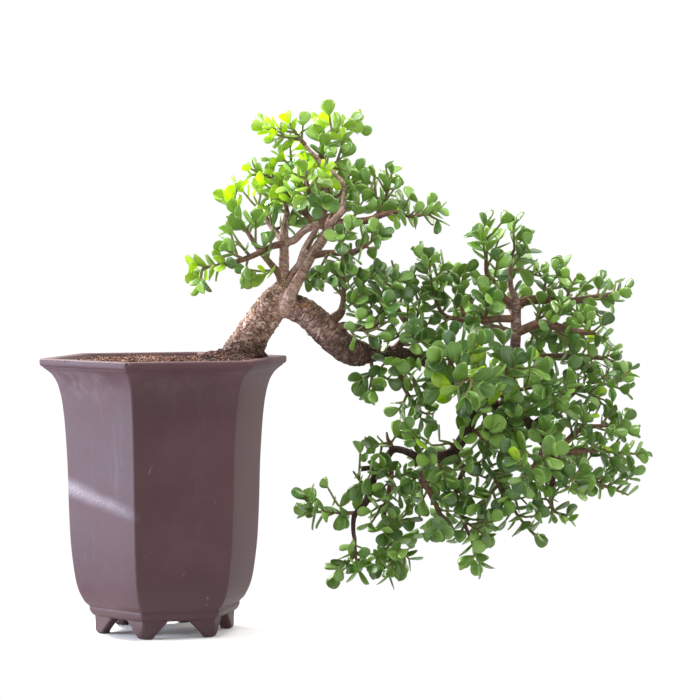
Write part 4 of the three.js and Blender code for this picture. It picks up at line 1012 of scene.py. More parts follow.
# Leafy branches: length of a leaf, the bare share of the first stem, how far apart side shoots stand where that
# isn't growth's pitch, and the stems. A stem's radii stop where it starts to taper.
sprays = [
    {"leaf": 18, "bare": 0.45, "pitch": 18, "stems": [
        [(99, 3, 288, 4.4), (96, 3, 299, 3.3), (89, 3, 308, 2.7), (82, 4, 316, 2.3), (75, 5, 326, 2),
         (66, 6, 340), (57, 8, 353), (51, 9, 363)],
        [(89, 3, 308), (85, -6, 313), (83, -12, 322)],
        [(95, 3, 301), (90, -2, 303), (85, -5, 299)]]},
    {"leaf": 16, "bare": 0.4, "pitch": 17, "stems": [
        [(100, 6, 325, 3.6), (90, 2, 322.5, 2.8), (80, -2, 317.5, 2.6), (70, -6, 313, 2.4), (59, -9, 309.5, 2.2),
         (48, -12, 307, 2), (38, -13, 305.5), (28, -14, 307)],
        [(72, -5, 314), (66, -12, 321), (59, -16, 327)],
        [(34, -13, 306), (31, -15, 301), (30, -16, 296)],
        [(66, -8, 312), (58, -14, 316), (52, -17, 319)]]},
    {"leaf": 15, "bare": 0.1, "stems": [[(103, 9, 351, 2), (100, 4, 364), (98, 1, 378)]]},
    {"leaf": 15, "bare": 0.5, "stems": [
        [(103, 1, 292, 3.8), (109, 7, 303, 3), (115, 13, 310, 2.7), (120, 19, 322, 2.4), (127, 25, 336, 2),
         (133, 33, 347), (139, 41, 357)],
        [(108, 6, 301), (117, 2, 296), (123, 0, 292)]]},
    {"leaf": 15, "bare": 0.5, "stems": [
        [(145, -2, 341.5, 3.9), (157, -6, 343, 3.5), (166, -9, 343.5, 3.2), (174, -11, 345.5, 2.8),
         (183, -14, 349, 2.4), (193, -17, 351, 2), (207, -20, 347.5), (220, -22, 350), (229, -23, 352)],
        [(173, -10, 345, 2.2), (180, -6, 351, 2), (184, -2, 361), (188, 0, 372), (190, 1, 383)],
        [(183, -3, 358), (174, 5, 367), (167, 9, 376), (164, 10, 384)],
        [(157, -6, 343.5), (161, -4, 352), (166, -3, 360)]]},
    {"leaf": 14, "bare": 0.1, "stems": [
        [(118, -7, 407, 1.9), (111, -8, 416), (105, -9, 425)],
        [(115, -7.5, 411), (106, -4, 413), (96, -2, 415), (84, 0, 421)]]},
    {"leaf": 17, "bare": 0.45, "stems": [
        [(146, -1, 350, 3.2), (140, 9, 361, 2.5), (135, 12, 373, 2.3), (131, 15, 388, 2.1), (131, 17, 401, 1.9),
         (136, 19, 412), (146, 20, 419), (154, 21, 426)],
        [(140, 9, 361, 1.8), (150, 13, 369), (160, 12, 377)],
        [(132, 14.5, 386), (141, 15, 391), (149, 16, 397)]]},
    {"leaf": 15, "bare": 0.45, "stems": [
        [(132, -2, 338, 3.6), (133, -4, 351, 3.3), (134, -5, 363, 3.1), (134, -6, 375, 2.5), (135, -8, 386),
         (137, -10, 397)],
        [(133, -4, 352, 2.6), (126, -20, 360, 2.3), (121, -34, 368, 2), (119, -34, 380), (118, -32, 392)]]},
    {"leaf": 13, "bare": 0.4, "stems": [
        [(124, 0, 339, 3.2), (120, 6, 348, 2.7), (111, 10, 355, 2.5), (104, 13, 363, 2.3), (98, 15, 373, 2),
         (90, 18, 379), (81, 20, 383), (73, 21, 387)],
        [(119, 6, 349, 1.9), (118, 4, 362), (118, 4, 377), (117, 5, 389)],
        [(110, 10, 356), (106, 4, 349), (103, 1, 341)],
        [(118, 4, 378), (110, 8, 386), (102, 10, 393), (97, 11, 398)]]},
    {"leaf": 15, "bare": 0.45, "stems": [
        [(124, -4, 315, 3.4), (137, -10, 317, 2.7), (150, -16, 317, 2.5), (161, -21, 319, 2.1), (171, -26, 325),
         (180, -29, 333)],
        [(143, -13, 317), (149, -19, 328), (157, -24, 339)],
        [(137, -10, 317), (133, -15, 309), (128, -18, 301)],
        [(150, -16, 317), (147, -20, 307), (142, -22, 299)]]},
    {"leaf": 15, "bare": 0.35, "stems": [
        [(100, 7, 327, 3.2), (92, 24, 336, 2.6), (86, 40, 345, 2.1), (80, 50, 354), (75, 58, 364)],
        [(92, 24, 336), (100, 30, 340), (108, 34, 346)]]},
    {"leaf": 15, "bare": 0.35, "stems": [
        [(137, -1, 341, 3), (141, 19, 350, 2.5), (146, 38, 358, 2), (151, 48, 368), (156, 56, 379)]]},
    {"leaf": 17, "bare": 0.25, "stems": [
        [(135, -3, 258, 5), (143, -4, 263, 4.6), (148, -5, 268, 3.6), (149.5, -6, 276, 2.4), (150, -6, 287, 2.1),
         (150, -7, 299), (149, -8, 310)],
        [(149.8, -6, 280), (143, -10, 288), (136, -12, 296)]]},
    {"leaf": 16, "bare": 0.25, "stems": [
        [(139, -5, 251, 4.4), (150, -11, 256, 3.6), (162, -14, 254.5, 3.1), (173, -16, 254, 2.4), (181, -21, 263),
         (183, -26, 279), (184, -28, 294)],
        [(163, -14, 254.5, 1.9), (164, -8, 268), (163, -4, 282), (163, -2, 297)],
        [(166, -15, 254.3), (170, -22, 249), (177, -27, 247)],
        [(155, -12, 255.5), (158, -20, 249), (165, -25, 246)]]},
    {"leaf": 16, "bare": 0.2, "stems": [
        [(193, -2, 236, 4.2), (200, 2, 244, 3.5), (206, 5, 251, 3.1), (202, 6, 259, 2.6), (196, 6, 268, 2.4),
         (192, 7, 279, 2.1), (193, 8, 291), (192, 9, 303), (190, 10, 311)],
        [(205, 5, 252, 1.9), (212, 12, 266), (214, 18, 281)],
        [(200, 2, 244.5), (194, -8, 250), (190, -14, 258)],
        [(198, 1, 241), (206, -8, 240), (214, -13, 243), (221, -16, 240)]]},
    {"leaf": 16, "bare": 0.15, "stems": [
        [(293, 26, 262, 3.4), (280, 18, 262, 3.1), (268, 12, 261, 2.8), (255, 6, 261, 2.5), (243, 2, 262, 2.1),
         (233, 0, 266), (226, -3, 280), (223, -4, 297), (221, -5, 312)],
        [(252, 5, 261, 1.9), (248, 9, 274), (247, 12, 289), (246, 14, 303)],
        [(268, 12, 261, 1.9), (270, 3, 272), (267, -5, 284)]]},
    {"leaf": 17, "bare": 0.3, "stems": [
        [(293, 26, 271, 3.6), (284, 25, 280, 2.9), (276, 24, 289, 2.5), (270, 22, 299, 2.2), (269, 22, 311),
         (269, 22, 325), (268, 22, 340)]]},
    {"leaf": 17, "bare": 0.1, "stems": [
        [(289, 29, 298, 2), (290, 30, 313), (294, 31, 322), (299, 32, 328)],
        [(289.3, 29.5, 303), (299, 37, 303), (309, 41, 301)]]},
    {"leaf": 15, "bare": 0.15, "stems": [
        [(293, 26, 250, 2.8), (282, 34, 254, 2.4), (272, 42, 256, 2), (264, 50, 260), (255, 56, 268)]]},
    {"leaf": 15, "bare": 0.2, "stems": [
        [(294, 26, 273, 3.8), (303, 30, 277, 4.1), (316, 36, 278, 4), (335, 46, 276.5, 3.5), (350, 54, 278, 3),
         (365, 62, 281, 2.4), (374, 66, 283), (384, 70, 286)],
        [(317, 36, 278, 1.9), (318, 38, 289), (321, 40, 299)],
        [(336, 46, 276.5, 1.9), (339, 44, 286), (344, 42, 296)],
        [(352, 55, 278.3), (357, 52, 270), (364, 50, 264)]]},
    {"leaf": 15, "bare": 0.2, "stems": [
        [(294, 26, 250, 4), (303, 22, 254, 3.9), (314, 18, 258, 3.8), (326, 14, 256, 3.6), (340, 12, 252, 3.3),
         (351, 12, 250.5, 2.7), (359, 11, 250), (367, 9, 246)],
        [(354, 11, 250.4), (357, 3, 257)],
        [(306, 21, 255), (315, 30, 263), (325, 37, 268), (334, 41, 271)],
        [(326, 14, 256), (331, 20, 247), (338, 26, 243)],
        [(304, 22, 254), (312, 29, 246), (321, 34, 243)]]},
    {"leaf": 15, "bare": 0.15, "stems": [
        [(293, 25, 232, 3.8), (305, 34, 229.5, 3.3), (320, 44, 230, 3.1), (336, 52, 230.5, 2.8),
         (351, 58, 230, 2.6), (364, 64, 229.5, 2.2), (373, 67, 227), (382, 70, 224)],
        [(341, 54, 230.4, 1.9), (347, 44, 223), (352, 36, 215)]]},
    {"leaf": 20, "bare": 0.25, "stems": [
        [(230, 10, 219, 3.4), (237, -9, 221, 2.8), (244, -28, 218, 2.3), (250, -42, 214, 2), (256, -52, 211),
         (263, -60, 206)],
        [(253, -48, 213), (246, -56, 204)],
        [(243, -26, 218.5, 1.9), (238, -37, 228), (238, -44, 237)]]},
    {"leaf": 20, "bare": 0.2, "stems": [
        [(276, 19, 190, 3), (278, 4, 200, 2.5), (282, -10, 210, 2.1), (287, -19, 217), (293, -27, 224)]]},
    {"leaf": 15, "bare": 0.2, "stems": [
        [(263, 17, 197, 3.2), (268, 40, 202, 2.6), (272, 60, 208, 2.1), (276, 72, 214), (281, 84, 221)]]},
    {"leaf": 15, "bare": 0.2, "stems": [
        [(294, 26, 262, 3), (290, 44, 270, 2.4), (285, 60, 277, 2), (281, 71, 286), (277, 81, 295)]]},
    {"leaf": 17, "bare": 0.4, "stems": [
        [(192, -3, 232, 4), (196, -5, 220, 2.8), (199, -6, 209, 2.3), (203, -8, 200), (210, -9, 189),
         (215, -10, 178)],
        [(197, -5, 218), (205, -12, 216), (211, -16, 209)],
        [(193, -3.5, 229), (186, -10, 226), (181, -14, 221)]]},
    {"leaf": 17, "bare": 0.4, "stems": [
        [(172, -5, 231, 1.8), (174, -8, 219), (173, -10, 209), (171, -11, 202)],
        [(174, -8, 219), (181, -11, 215), (187, -13, 211)]]},
    {"leaf": 18, "bare": 0.1, "stems": [[(288, 21, 200, 2.2), (300, 14, 203), (312, 8, 205), (322, 0, 206)]]},
    {"leaf": 20, "bare": 0.1, "stems": [[(246, 14, 206, 2.2), (247, 2, 194), (248, -8, 182)]]},
    {"leaf": 18, "bare": 0.1, "stems": [[(278, 19, 189, 2.2), (284, 8, 180), (290, -4, 172), (294, -14, 166)]]},
    {"leaf": 18, "bare": 0.1, "stems": [[(262, 16, 195, 2.2), (268, 4, 184), (272, -8, 174)]]},
    {"leaf": 18, "bare": 0.1, "stems": [[(255, 7, 171, 2.2), (264, -2, 164), (272, -10, 158), (280, -16, 150)]]},
    {"leaf": 17, "bare": 0.1, "stems": [[(244, -1, 154, 2), (238, -12, 158), (230, -18, 160)]]},
    {"leaf": 17, "bare": 0.1, "stems": [[(228, -7, 146, 1.9), (232, -16, 137), (235, -24, 128)]]},
    {"leaf": 17, "bare": 0.2, "stems": [[(214, -9, 143, 1.8), (213, -12, 154), (212, -14, 163)]]},
    {"leaf": 17, "bare": 0.1, "stems": [
        [(213, -9, 143, 3.8), (213, -10, 135, 3.4), (216, -12, 126, 3), (222, -14, 117, 2.6),
         (227, -15, 106, 2.3), (231, -16, 97, 2), (228, -18, 89), (222, -19, 82)],
        [(230, -16, 99, 1.7), (238, -17, 92), (243, -17, 84)]]},
    {"leaf": 17, "bare": 0.1, "stems": [
        [(241, -2, 150, 3.4), (249, -4, 139, 2.9), (256, -5, 136, 2.6), (265, -7, 141, 2.2), (273, -9, 134, 2),
         (280, -11, 123, 1.9), (288, -12, 110), (296, -13, 97), (304, -14, 87), (310, -15, 80)],
        [(252, -4, 138, 2.6), (247, -6, 127, 2.3), (244, -8, 116, 2.1), (246, -9, 104, 2), (250, -10, 93, 1.9),
         (255, -11, 81), (260, -11, 69), (264, -11, 58)],
        [(280, -11, 123), (272, -17, 114), (264, -21, 106)],
        [(250, -10, 93), (260, -17, 86), (268, -21, 80)]]},
    {"leaf": 16, "bare": 0.15, "stems": [
        [(246, 2, 157, 3), (240, 22, 151, 2.4), (232, 42, 142, 1.9), (227, 52, 134), (222, 62, 124)]]},
    {"leaf": 15, "bare": 0.2, "stems": [
        [(191, 2, 151, 2.6), (189, 4, 157, 2.2), (187, 5, 161), (186, 6, 167)],
        [(188.7, 4, 158), (179, -2, 156), (170, -6, 150)]]},
    {"leaf": 16, "bare": 0.15, "stems": [
        [(187, 2, 146, 2.6), (190, 4, 133, 2.3), (188, 3, 119, 2.1), (185, 1, 105, 2), (184, -1, 93, 1.9),
         (187, -2, 81), (191, -2, 70.5), (192, -2, 59), (188, -2, 46)],
        [(185, 1, 106), (179, -7, 104), (173, -11, 100)],
        [(184, -1, 94), (193, -9, 93.5), (203, -13, 92)],
        [(190, -2, 73), (198, -7, 68), (205, -10, 60)]]},
    {"leaf": 18, "bare": 0.2, "stems": [[(172, -3, 120, 2), (164, -12, 126), (158, -20, 134)]]},
    {"leaf": 17, "bare": 0.2, "stems": [[(181, 0, 139, 2), (186, -12, 132), (192, -20, 124), (197, -26, 114)]]},
    {"leaf": 17, "bare": 0.3, "stems": [
        [(159, -6, 79, 1.8), (160, -6, 64), (162, -6, 51)],
        [(160, -6, 66), (168, -8, 60), (173, -9, 52)],
        [(160, -6, 63), (152, -9, 57), (146, -11, 54)]]},
    {"leaf": 16, "bare": 0.2, "stems": [
        [(161, -5, 99, 1.8), (149, -9, 99), (137, -11, 100), (128, -13, 100), (120, -14, 99)]]},
    {"leaf": 15, "bare": 0.1, "stems": [
        [(324, -1, 108, 1.8), (326, -2, 101), (332, -2, 98), (338, -2, 96)],
        [(325, -1.5, 105), (316, -8, 100), (307, -12, 95)],
        [(325, -1.5, 104), (321, -8, 110), (315, -14, 111)]]},
    {"leaf": 14, "bare": 0.15, "stems": [
        [(327, 4, 149, 3.4), (337, 10, 159, 2.9), (345, 16, 167, 2.6), (353, 22, 171, 2.2), (364, 28, 172),
         (376, 33, 172), (391, 37, 167)],
        [(330, 5, 151, 2.8), (341, 8, 150, 2.5), (352, 14, 151.5, 2.2), (364, 21, 152, 2), (378, 26, 150),
         (394, 29, 149)]]},
    {"leaf": 15, "bare": 0.15, "stems": [
        [(328, 2, 139, 2.8), (338, 9, 133, 2.3), (348, 15, 130, 2), (358, 20, 127, 1.9), (368, 22, 122),
         (379, 24, 118), (389, 25, 114)]]},
    {"leaf": 14, "bare": 0.15, "stems": [
        [(311, 12, 168, 3), (321, 20, 177, 2.5), (330, 28, 187, 2.2), (340, 36, 197, 2), (349, 42, 205, 1.9),
         (361, 46, 209), (374, 50, 206), (385, 53, 202)],
        [(350, 42.3, 205.2), (358, 36, 198), (368, 31, 194)]]},
    {"leaf": 15, "bare": 0.2, "stems": [
        [(317, 9, 160, 3), (323, 32, 156, 2.5), (330, 54, 151, 2), (333, 66, 146), (337, 76, 142)]]},
    {"leaf": 18, "bare": 0.2, "stems": [
        [(319, 7, 157, 3), (316, -14, 150, 2.5), (312, -32, 143, 2), (307, -42, 135), (300, -50, 126)]]},
    {"leaf": 18, "bare": 0.1, "stems": [[(326, 1, 132, 2), (316, -6, 126), (306, -12, 119)]]},
    {"leaf": 18, "bare": 0.1, "stems": [[(325, 1, 125, 1.9), (334, -8, 122), (344, -14, 119)]]},
    {"leaf": 17, "bare": 0.1, "stems": [[(307, 14, 173, 2), (318, 2, 182), (326, -8, 190), (333, -14, 198)]]},
]

# Open places between the leaf clouds, as seen: x, z, half width, half height
clearings = [
    (86, 441, 12, 11), (128, 439, 6, 8), (173, 428, 8, 11), (162, 413, 8, 5), (73, 411, 6, 6), (82, 402, 7, 7),
    (158, 396, 7, 8), (180, 394, 8, 8), (205, 386, 8, 11), (211, 369, 6, 5), (218, 339, 9, 6), (73, 361, 13, 7),
    (45, 354, 8, 6), (41, 348, 7, 7), (86, 343, 5, 8), (62, 331, 9, 6), (75, 333, 8, 7), (75, 301, 5, 8),
    (37, 322, 7, 5), (191, 318, 13, 10), (169, 313, 5, 8), (201, 310, 5, 10), (133, 278, 16, 10),
    (148, 202, 9, 9), (186, 197, 11, 8), (189, 176, 7, 9), (170, 173, 13, 13), (155, 152, 7, 10),
    (251, 350, 13, 15), (246, 319, 5, 9), (247, 311, 12, 4), (311, 326, 8, 7), (330, 321, 9, 7),
    (352, 306, 13, 8), (379, 302, 13, 8), (381, 248, 8, 11), (391, 227, 6, 5), (382, 194, 7, 7), (401, 179, 8, 6),
    (409, 153, 7, 6), (410, 128, 8, 13), (396, 112, 7, 6), (384, 106, 16, 8), (352, 102, 10, 7), (326, 84, 15, 7),
    (304, 70, 14, 8), (282, 66, 12, 10), (252, 49, 11, 6), (239, 65, 7, 9), (225, 71, 18, 5), (200, 85, 10, 5),
    (172, 77, 9, 7), (137, 87, 9, 6), (135, 68, 9, 8), (138, 48, 7, 6), (104, 93, 6, 11), (140, 115, 12, 5),
    (155, 120, 6, 6), (111, 121, 7, 6), (118, 131, 14, 10), (146, 132, 15, 13), (239, 178, 8, 18),
    (236, 184, 10, 14), (234, 160, 11, 7),
]

# How shoots and leaves grow, in millimetres
growth = {
    "shootPitch": 8, "shootLength": (12, 22), "shootTilt": 0.95, "shootRise": 0.22, "shootTries": 7,
    "shootSpare": 2.4, "shootRootFree": 6, "shootStep": 2.5, "shootFrom": 3, "tipFree": 5, "plainLeaf": 16,
    "laterBare": 0.2, "sideStem": 1.5, "stemTip": 0.8, "stemSwell": 0.45, "anyTurn": 6.28,
    "firstLeaf": 5, "fromTip": 0.4, "leafyRadius": 2.15, "pairPitch": 0.42, "pairTilts": (0.6, 0.9, 1.1),
    "pairSizes": (0.84, 1, 1), "sizeSpread": (0.8, 1.1), "pitchSpread": (0.9, 1.15), "lean": 0.15, "lift": 0.12,
    "bladeGap": 0.45, "rootFree": 4.5, "leafThickness": 2.2, "leafWidth": 0.8, "ballPitch": 3.4,
    "leafTilts": (0, -16, 14, -30, 26, -42, 8, -8), "leafTwists": (0, 14, -24, 36, -44, 58, 80, -80),
    "goldenTurn": math.radians(137.5), "cell": 8, "barkSpare": 0.8, "openLimbs": (5, 6, 7), "openDepth": 25,
    "rounds": {"leaves": 1, "laterLeaves": 0.92},  # size in each round: later ones go where a stem has room
}
seeds = {"shoots": (100, 37), "leaves": (5000, 91), "laterLeaves": (20000, 57), "looks": (9000, 13)}


class Dice:
    # repeatable draws, started afresh for each branch
    def __init__(self, use, owner):
        first, step = seeds[use]
        self.seed = first + step * owner

    def draw(self, low, high):
        self.seed = self.seed * 48271 % 2147483647
        return low + (high - low) * self.seed / 2147483647


# Space that is taken, as balls sorted into cells: place, radius and the branch that took it, -1 for wood
taken = {}


def cellOf(at):
    return tuple(math.floor(value / growth["cell"]) for value in at)


def takeSpace(at, radius, owner):
    taken.setdefault(cellOf(at), []).append((*at, radius, owner))


def ballsNear(at, reach):
    low, high = cellOf(at - reach), cellOf(at + reach + growth["cell"])
    found = []
    for x in range(low[0], high[0] + 1):
        for y in range(low[1], high[1] + 1):
            for z in range(low[2], high[2] + 1):
                found += taken.get((x, y, z), ())
    return np.array(found).reshape(-1, 5)


def takeRun(run, owner, spare):
    for first, second in zip(run, run[1:]):
        parts = math.ceil(np.linalg.norm(second["at"] - first["at"]) / 2)
        for k in range(parts):
            radius = first["radius"] + (second["radius"] - first["radius"]) * k / parts
            takeSpace(first["at"] + (second["at"] - first["at"]) * (k / parts), radius + spare, owner)
    takeSpace(run[-1]["at"], run[-1]["radius"] + spare, owner)


def inClearing(at):
    x, z = seen(at)
    return any(((x - atX) / wide) ** 2 + ((z - atZ) / high) ** 2 < 1 for atX, atZ, wide, high in clearings)


# Half the width of a leaf at a part t of its length: a wedge at the root, widest two thirds along
def halfWidth(t, length):
    part = np.clip(t, 0, 1)
    return growth["leafWidth"] * length * (part / 0.667) ** 0.9 * ((1 - part) / 0.333) ** 0.45 / 2


def leafIsClear(leaf, owner):
    length = leaf["length"]
    if any(inClearing(leaf["root"] + leaf["along"] * (length * t)) for t in (0.5, 0.95)):
        return False
    balls = ballsNear(leaf["root"] + leaf["along"] * (length / 2), length / 2 + 5)
    offset = balls[:, :3] - leaf["root"]
    own = (balls[:, 4] == owner) & (np.linalg.norm(offset, axis=1) < growth["rootFree"])
    spare = balls[:, 3] + growth["bladeGap"]
    u = offset @ leaf["along"]
    near = ~own & (np.abs(offset @ leaf["up"]) <= spare + growth["leafThickness"] / 2)
    near &= (u >= -spare) & (u <= length + spare)
    near &= np.abs(offset @ leaf["side"]) < halfWidth(u / length, length) + spare
    return not near.any()


def takeLeaf(leaf, owner):
    length = leaf["length"]
    rows = math.ceil(length / growth["ballPitch"])
    for i in range(1, rows + 1):
        t = (i - 0.35) / rows
        half = max(halfWidth(t, length) - 0.8, 0)
        columns = max(math.ceil(2 * half / growth["ballPitch"]), 1)
        for j in range(columns + 1):
            at = leaf["root"] + leaf["along"] * (t * length) + leaf["side"] * (half * (2 * j / columns - 1))
            takeSpace(at, growth["leafThickness"] / 2, owner)


def direction(spot, tilt, turn):
    aside = spot["normal"] * math.cos(turn) + spot["across"] * math.sin(turn)
    return spot["ahead"] * math.cos(tilt) + aside * math.sin(tilt)


def spotAt(run, distance):
    rest = distance
    for i, (first, second) in enumerate(zip(run, run[1:])):
        length = np.linalg.norm(second["at"] - first["at"])
        if rest <= length or i == len(run) - 2:
            return {**first, "at": first["at"] + (second["at"] - first["at"]) * min(rest / length, 1)}
        rest -= length


def runLength(run):
    return sum(np.linalg.norm(second["at"] - first["at"]) for first, second in zip(run, run[1:]))


def shootIsClear(run, owner):
    if inClearing(run[-1]["at"]):
        return False
    distance, end = growth["shootFrom"], runLength(run) + growth["shootFrom"]
    while distance < end:
        at = spotAt(run, distance)["at"]
        balls = ballsNear(at, growth["shootRootFree"])
        fromRoot = np.linalg.norm(balls[:, :3] - run[0]["at"], axis=1)
        own = (balls[:, 4] == owner) & (fromRoot < growth["shootRootFree"])
        gap = np.linalg.norm(balls[:, :3] - at, axis=1)
        if (~own & (gap < balls[:, 3] + growth["shootSpare"])).any():
            return False
        distance += growth["shootStep"]
    return True


# Side shoots stand off a stem at golden-angle turns and bend up towards the light
def growShoots(stem, bare, pitch, leaf, owner, dice):
    shoots = []
    length = runLength(stem)
    turn = dice.draw(0, growth["anyTurn"])
    distance = bare * length + growth["shootFrom"]
    while distance < length - growth["tipFree"]:
        spot = spotAt(stem, distance)
        reach = dice.draw(*growth["shootLength"]) * (leaf / growth["plainLeaf"])
        for attempt in range(growth["shootTries"]):
            turn += growth["goldenTurn"]
            heading = direction(spot, growth["shootTilt"], turn)
            run = []
            for t in (0, 0.5, 1):
                at = spot["at"] + heading * (reach * t) + np.array([0, 0, growth["shootRise"] * reach * t * t])
                run.append({"at": at, "radius": growth["stemTip"] + growth["stemSwell"] * (1 - t)})
            addFrames(run)
            if shootIsClear(run, owner):
                takeRun(run, owner, 0)
                shoots.append({"run": run, "leaves": []})
                break
        distance += pitch
    return shoots


def turned(vector, axis, angle):
    cos, sin = math.cos(angle), math.sin(angle)
    return vector * cos + np.cross(axis, vector) * sin + axis * axis.dot(vector) * (1 - cos)


# Leaves stand in opposite pairs, each pair turned a quarter from the last, from the tip down
def growLeaves(run, leafSize, owner, dice):
    leaves = []
    thin = next((i for i, spot in enumerate(run) if spot["radius"] < growth["leafyRadius"]), len(run) - 1)
    bare = max(growth["firstLeaf"], runLength(run[:thin + 1]))
    turn = dice.draw(0, growth["anyTurn"])
    rank = 0
    distance = runLength(run) - growth["fromTip"]
    while distance > bare:
        spot = spotAt(run, distance)
        tilt, share = growth["pairTilts"][min(rank, 2)], growth["pairSizes"][min(rank, 2)]
        for half in (0, math.pi):
            size = leafSize * share * dice.draw(*growth["sizeSpread"])
            lean = dice.draw(-growth["lean"], growth["lean"])
            for leafTilt, leafTwist in zip(growth["leafTilts"], growth["leafTwists"]):
                along = direction(spot, tilt + lean + math.radians(leafTilt), turn + half)
                along[2] += growth["lift"]
                along /= np.linalg.norm(along)
                flat = spot["ahead"] - along * spot["ahead"].dot(along)
                flat /= np.linalg.norm(flat)
                up = turned(flat, along, math.radians(leafTwist) + lean)
                leaf = {"root": spot["at"], "along": along, "up": up, "side": np.cross(up, along), "length": size}
                if leafIsClear(leaf, owner):
                    takeLeaf(leaf, owner)
                    leaves.append(leaf)
                    break
        turn += math.pi / 2
        rank += 1
        distance -= growth["pairPitch"] * leafSize * dice.draw(*growth["pitchSpread"])
    return leaves


# Gives the points past the last radius of a stem the radii that taper to its tip
def tapered(points):
    given = sum(len(point) > 3 for point in points)
    last = max(given - 1, 0)
    root = points[last][3] if given else growth["sideStem"]
    out = []
    for k, point in enumerate(points):
        t = (k - last) / (len(points) - 1 - last)
        out.append(point if len(point) > 3 else (*point, root + (growth["stemTip"] - root) * t))
    return out


def growAll():
    for path in (trunkPath, cascadePath, *limbPaths):
        takeRun(smoothRun(path, 3), -1, growth["barkSpare"])
    # nothing grows in front of the limbs that show
    for index in growth["openLimbs"]:
        for spot in smoothRun(limbPaths[index], 2):
            for nearer in range(5, growth["openDepth"] + 1, 5):
                takeSpace(spot["at"] - np.array([0, nearer, 0]), spot["radius"] * 0.8, -1)
    bushes = []
    for owner, spray in enumerate(sprays):
        bushes.append([])
        for points in map(tapered, spray["stems"]):
            run = addFrames(smoothRun(points, 1))
            takeRun(run, owner, 0)
            bushes[owner].append({"run": run, "points": points, "leaves": []})
    for owner, (spray, stems) in enumerate(zip(sprays, bushes)):
        dice = Dice("shoots", owner)
        pitch = spray.get("pitch", growth["shootPitch"])
        for i, stem in enumerate(list(stems)):
            bare = growth["laterBare"] if i else spray["bare"]
            stems += growShoots(stem["run"], bare, pitch, spray["leaf"], owner, dice)
    for title, size in growth["rounds"].items():
        for owner, (spray, stems) in enumerate(zip(sprays, bushes)):
            dice = Dice(title, owner)
            for stem in stems:
                stem["leaves"] += growLeaves(stem["run"], spray["leaf"] * size, owner, dice)
    return bushes


# Shoots: every stem is a line of points with its radius, made round by the tree
def shootTree():
    field = Field("shootTubes", {"Material": ("Material", looks["shoot"]), "Sides": ("Int", 8)})
    lines = field.node("GeometryNodeMeshToCurve", {}, {"Mesh": field.given("Geometry")}).outputs[0]
    section = field.node("GeometryNodeCurvePrimitiveCircle", {}, {
        "Resolution": field.given("Sides"), "Radius": mm}).outputs[0]
    tubes = field.node("GeometryNodeCurveToMesh", {}, {
        "Curve": lines, "Profile Curve": section, "Scale": field.named("FLOAT", "shootRadius"), "Fill Caps": True,
    }).outputs[0]
    return field.finish(field.node("GeometryNodeSetShadeSmooth", {}, {"Geometry": tubes}).outputs[0])


def makeShoots(bushes):
    vertices, edges, radii = [], [], []
    for stem in (stem for stems in bushes for stem in stems):
        run = smoothRun(stem["points"], 3) if "points" in stem else stem["run"]
        start = len(vertices)
        vertices += [toFrame(spot["at"]) for spot in run]
        radii += [spot["radius"] for spot in run]
        edges += [(k, k + 1) for k in range(start, len(vertices) - 1)]
    mesh = bpy.data.meshes.new("shootLines")
    mesh.from_pydata(vertices, edges, [])
    addAttribute(mesh, "shootRadius", "FLOAT", radii)
    settle(shootTree().apply("shoots", mesh), "bark")


# Leaves: a few blades of one length, thick, round-ended and cupped or bent a little
blade = {
    "rows": (0.11, 0.29, 0.48, 0.66, 0.83, 0.945), "inner": 0.55, "thickness": 0.13, "rootHalf": 0.028,
    "tipHalf": 0.05, "edgeThins": 0.35,
    "shapes": (
        {"cup": 0.05, "bend": -0.05, "twist": 0.0}, {"cup": 0.10, "bend": -0.12, "twist": 0.08},
        {"cup": 0.02, "bend": 0.05, "twist": -0.10}, {"cup": 0.13, "bend": 0.09, "twist": 0.05},
    ),
}


def makeBlade(name, cup, bend, twist):
    rings, spots = [], []
    inner = blade["inner"]
    outline = [(-1, 0), (-inner, 1), (0, 1), (inner, 1), (1, 0), (inner, -1), (0, -1), (-inner, -1)]
    for t in (0, *blade["rows"], 1):
        ring = []
        half = max(halfWidth(t, 1), blade["rootHalf"] if t < 0.5 else blade["tipHalf"])
        thick = blade["thickness"] / 2 * (0.45 + 0.55 * math.sin(math.pi * min(t + 0.12, 1) ** 0.8))
        for across, face in outline:
            y = across * half
            z = face * thick * (1 - blade["edgeThins"] * abs(across)) + cup * across ** 2 * half * 2.2 * (t > 0.05)
            z += bend * t * t + twist * y * t
            ring.append((t, y, z))
            spots.append((t, across, face))
        rings.append(ring)
    vertices, faces = loft(rings, False)
    last = len(vertices) - 8
    faces = [tuple(reversed(face)) for face in faces]
    faces += [tuple(range(8)), tuple(reversed(range(last, last + 8)))]
    mesh = meshOf(name, vertices, faces)
    shape = bmesh.new()
    shape.from_mesh(mesh)
    bmesh.ops.recalc_face_normals(shape, faces=shape.faces)
    shape.to_mesh(mesh)
    addAttribute(mesh, "leafSpot", "FLOAT_VECTOR", spots)
    return bpy.data.objects.new(name, mesh)


def leafTree(blades):
    field = Field("leafPairs", {"Material": ("Material", looks["leaf"]), "Shapes": ("Collection", blades)})
    turn = field.turn(field.named("FLOAT_VECTOR", "leafTurn"))
    pick, size = field.named("INT", "leafShape"), field.named("FLOAT", "leafSize")
    return field.finish(field.setOut(field.given("Geometry"), pick, turn, size))


